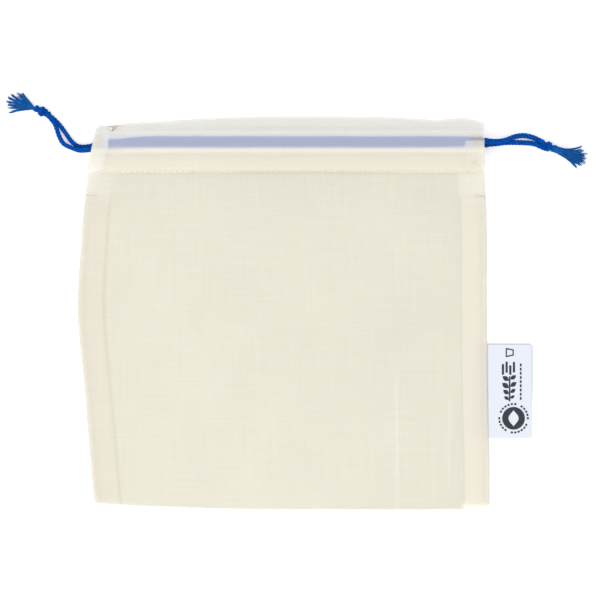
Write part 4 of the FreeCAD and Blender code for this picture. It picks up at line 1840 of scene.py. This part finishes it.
    def build(self, finishes: Finishes) -> None:
        """Args:
            finishes: The bag's materials.
        """
        ribbon = self.ribbon_piece()
        finishes.dress(ribbon, "ribbon")
        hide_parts("side_label")
        marks = self.marks()
        deselect_all()
        for mark in marks:
            mark.select_set(True)
        bpy.context.view_layer.objects.active = marks[0]
        bpy.ops.object.join()
        print_piece = bpy.context.object
        print_piece.name = "label_printed_marks"
        deselect_all()
        finishes.dress(print_piece, "ink")
        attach(ribbon, "label")
        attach(print_piece, "label")
        tab = self.seam_tab()
        finishes.dress(tab, "ribbon")
        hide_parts("label_seam_tab")
        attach(tab, "bag")
        LOG.info("label with %d faces of print", len(print_piece.data.polygons))


def bar(low: Spot, high: Spot) -> Outline:
    """The outline of an upright bar."""
    return [(low[0], low[1]), (high[0], low[1]), (high[0], high[1]), (low[0], high[1])]


def leaf_outline(tip: Spot, size: float, lean: float) -> Outline:
    """A pointed leaf that leans to one side.

    Args:
        tip: Where it is tied to the stem.
        size: Its length.
        lean: Its turn from upright, in radians.

    Returns:
        The outline.
    """
    outline = []
    for share in np.linspace(0.0, 1.0, 9):
        outline.append((share, LEAF_HALF_WIDTH * math.sin(math.pi * share)))
    for share in np.linspace(1.0, 0.0, 9)[1:-1]:
        outline.append((share, -LEAF_HALF_WIDTH * math.sin(math.pi * share)))
    turn = math.pi / 2 + lean
    cosine, sine = math.cos(turn), math.sin(turn)
    return [(tip[0] + size * (a * cosine - b * sine), tip[1] + size * (a * sine + b * cosine))
            for a, b in outline]


def leaf_disc(centre: Spot, radius: float) -> list[Outline]:
    """Two halves of a disc round a pale leaf-shaped opening.

    Args:
        centre: The disc's middle.
        radius: Its radius.

    Returns:
        The outlines of its left and right halves.
    """
    halves = []
    for sign in (-1, 1):
        outer = [(centre[0] + sign * radius * math.sin(a), centre[1] + radius * math.cos(a))
                 for a in np.linspace(0.0, math.pi, 25)]
        inner = []
        for share in np.linspace(-1.0, 1.0, 15):
            wide = 0.45 * radius * math.cos(share * math.pi / 2) ** 1.2
            inner.append((centre[0] + sign * max(wide, 0.0), centre[1] + 0.72 * radius * share))
        halves.append(outer + inner)
    return halves


def ring_dash(centre: Spot, inner: float, outer: float, angle: float,
              half: float) -> Outline:
    """One short dash of a dashed ring.

    Args:
        centre: The ring's middle.
        inner: Its inner radius.
        outer: Its outer radius.
        angle: Where the dash stands.
        half: Half the dash's turn.

    Returns:
        The outline.
    """
    places = []
    for radius, turns in ((inner, (-half, 0.0, half)), (outer, (half, 0.0, -half))):
        spokes = [angle + t * 0.6 for t in turns]
        places += [(centre[0] + radius * math.cos(t), centre[1] + radius * math.sin(t)) for t in spokes]
    return places


# ---------------------------------------------------------------- studio


@dataclass
class Studio:
    """The table, the lights and the camera straight above."""

    aim: Spot = (5.0 * MM, 8.8 * MM)
    height: float = 1.5
    lens: float = 150.0
    sky: float = 0.86
    lamp_power: float = 15.5
    lamp_size: float = 1.6
    lamp_place: Place = (-1.0, -0.9, 1.7)
    sensor: float = 36.0
    table: float = 4.0

    def build(self, finishes: Finishes) -> None:
        """Lay the table, hang the lights and set the camera.

        Args:
            finishes: The bag's materials.
        """
        deselect_all()
        bpy.ops.mesh.primitive_plane_add(size=self.table, location=(0.0, 0.0, 0.0))
        table = bpy.context.object
        table.name = "white_table"
        finishes.dress(table, "floor")
        world = bpy.data.worlds.new("soft studio")
        world.use_nodes = True
        background = world.node_tree.nodes["Background"]
        background.inputs["Color"].default_value = (1.0, 1.0, 1.0, 1.0)
        background.inputs["Strength"].default_value = self.sky
        bpy.context.scene.world = world
        lamp = bpy.data.lights.new("soft box", "AREA")
        lamp.shape = "DISK"
        lamp.size = self.lamp_size
        lamp.energy = self.lamp_power
        hung = bpy.data.objects.new("soft box", lamp)
        hung.location = self.lamp_place
        bpy.context.scene.collection.objects.link(hung)
        hung.rotation_euler = (Vector((0.0, 0.0, 0.0)) - hung.location).to_track_quat("-Z", "Y").to_euler()
        lens = bpy.data.cameras.new("camera")
        lens.lens = self.lens
        lens.sensor_width = self.sensor
        camera = bpy.data.objects.new("camera", lens)
        camera.location = (self.aim[0], self.aim[1], self.height)
        bpy.context.scene.collection.objects.link(camera)
        bpy.context.scene.camera = camera
        bpy.context.scene.view_settings.view_transform = "Standard"


def main() -> None:
    """Build the bag in order: finishes, studio, cords, cloth, stitches and label."""
    logging.basicConfig(level=logging.INFO, format="%(name)s %(message)s")
    finishes = Finishes()
    finishes.build()
    Studio().build(finishes)
    LEFT_DRAWSTRING.build(finishes)
    RIGHT_DRAWSTRING.build(finishes)
    cloth = BagCloth()
    cloth.build(finishes)
    Stitching(cloth).build(finishes)
    RibbonLabel().build(finishes)


if __name__ == "__main__":
    main()
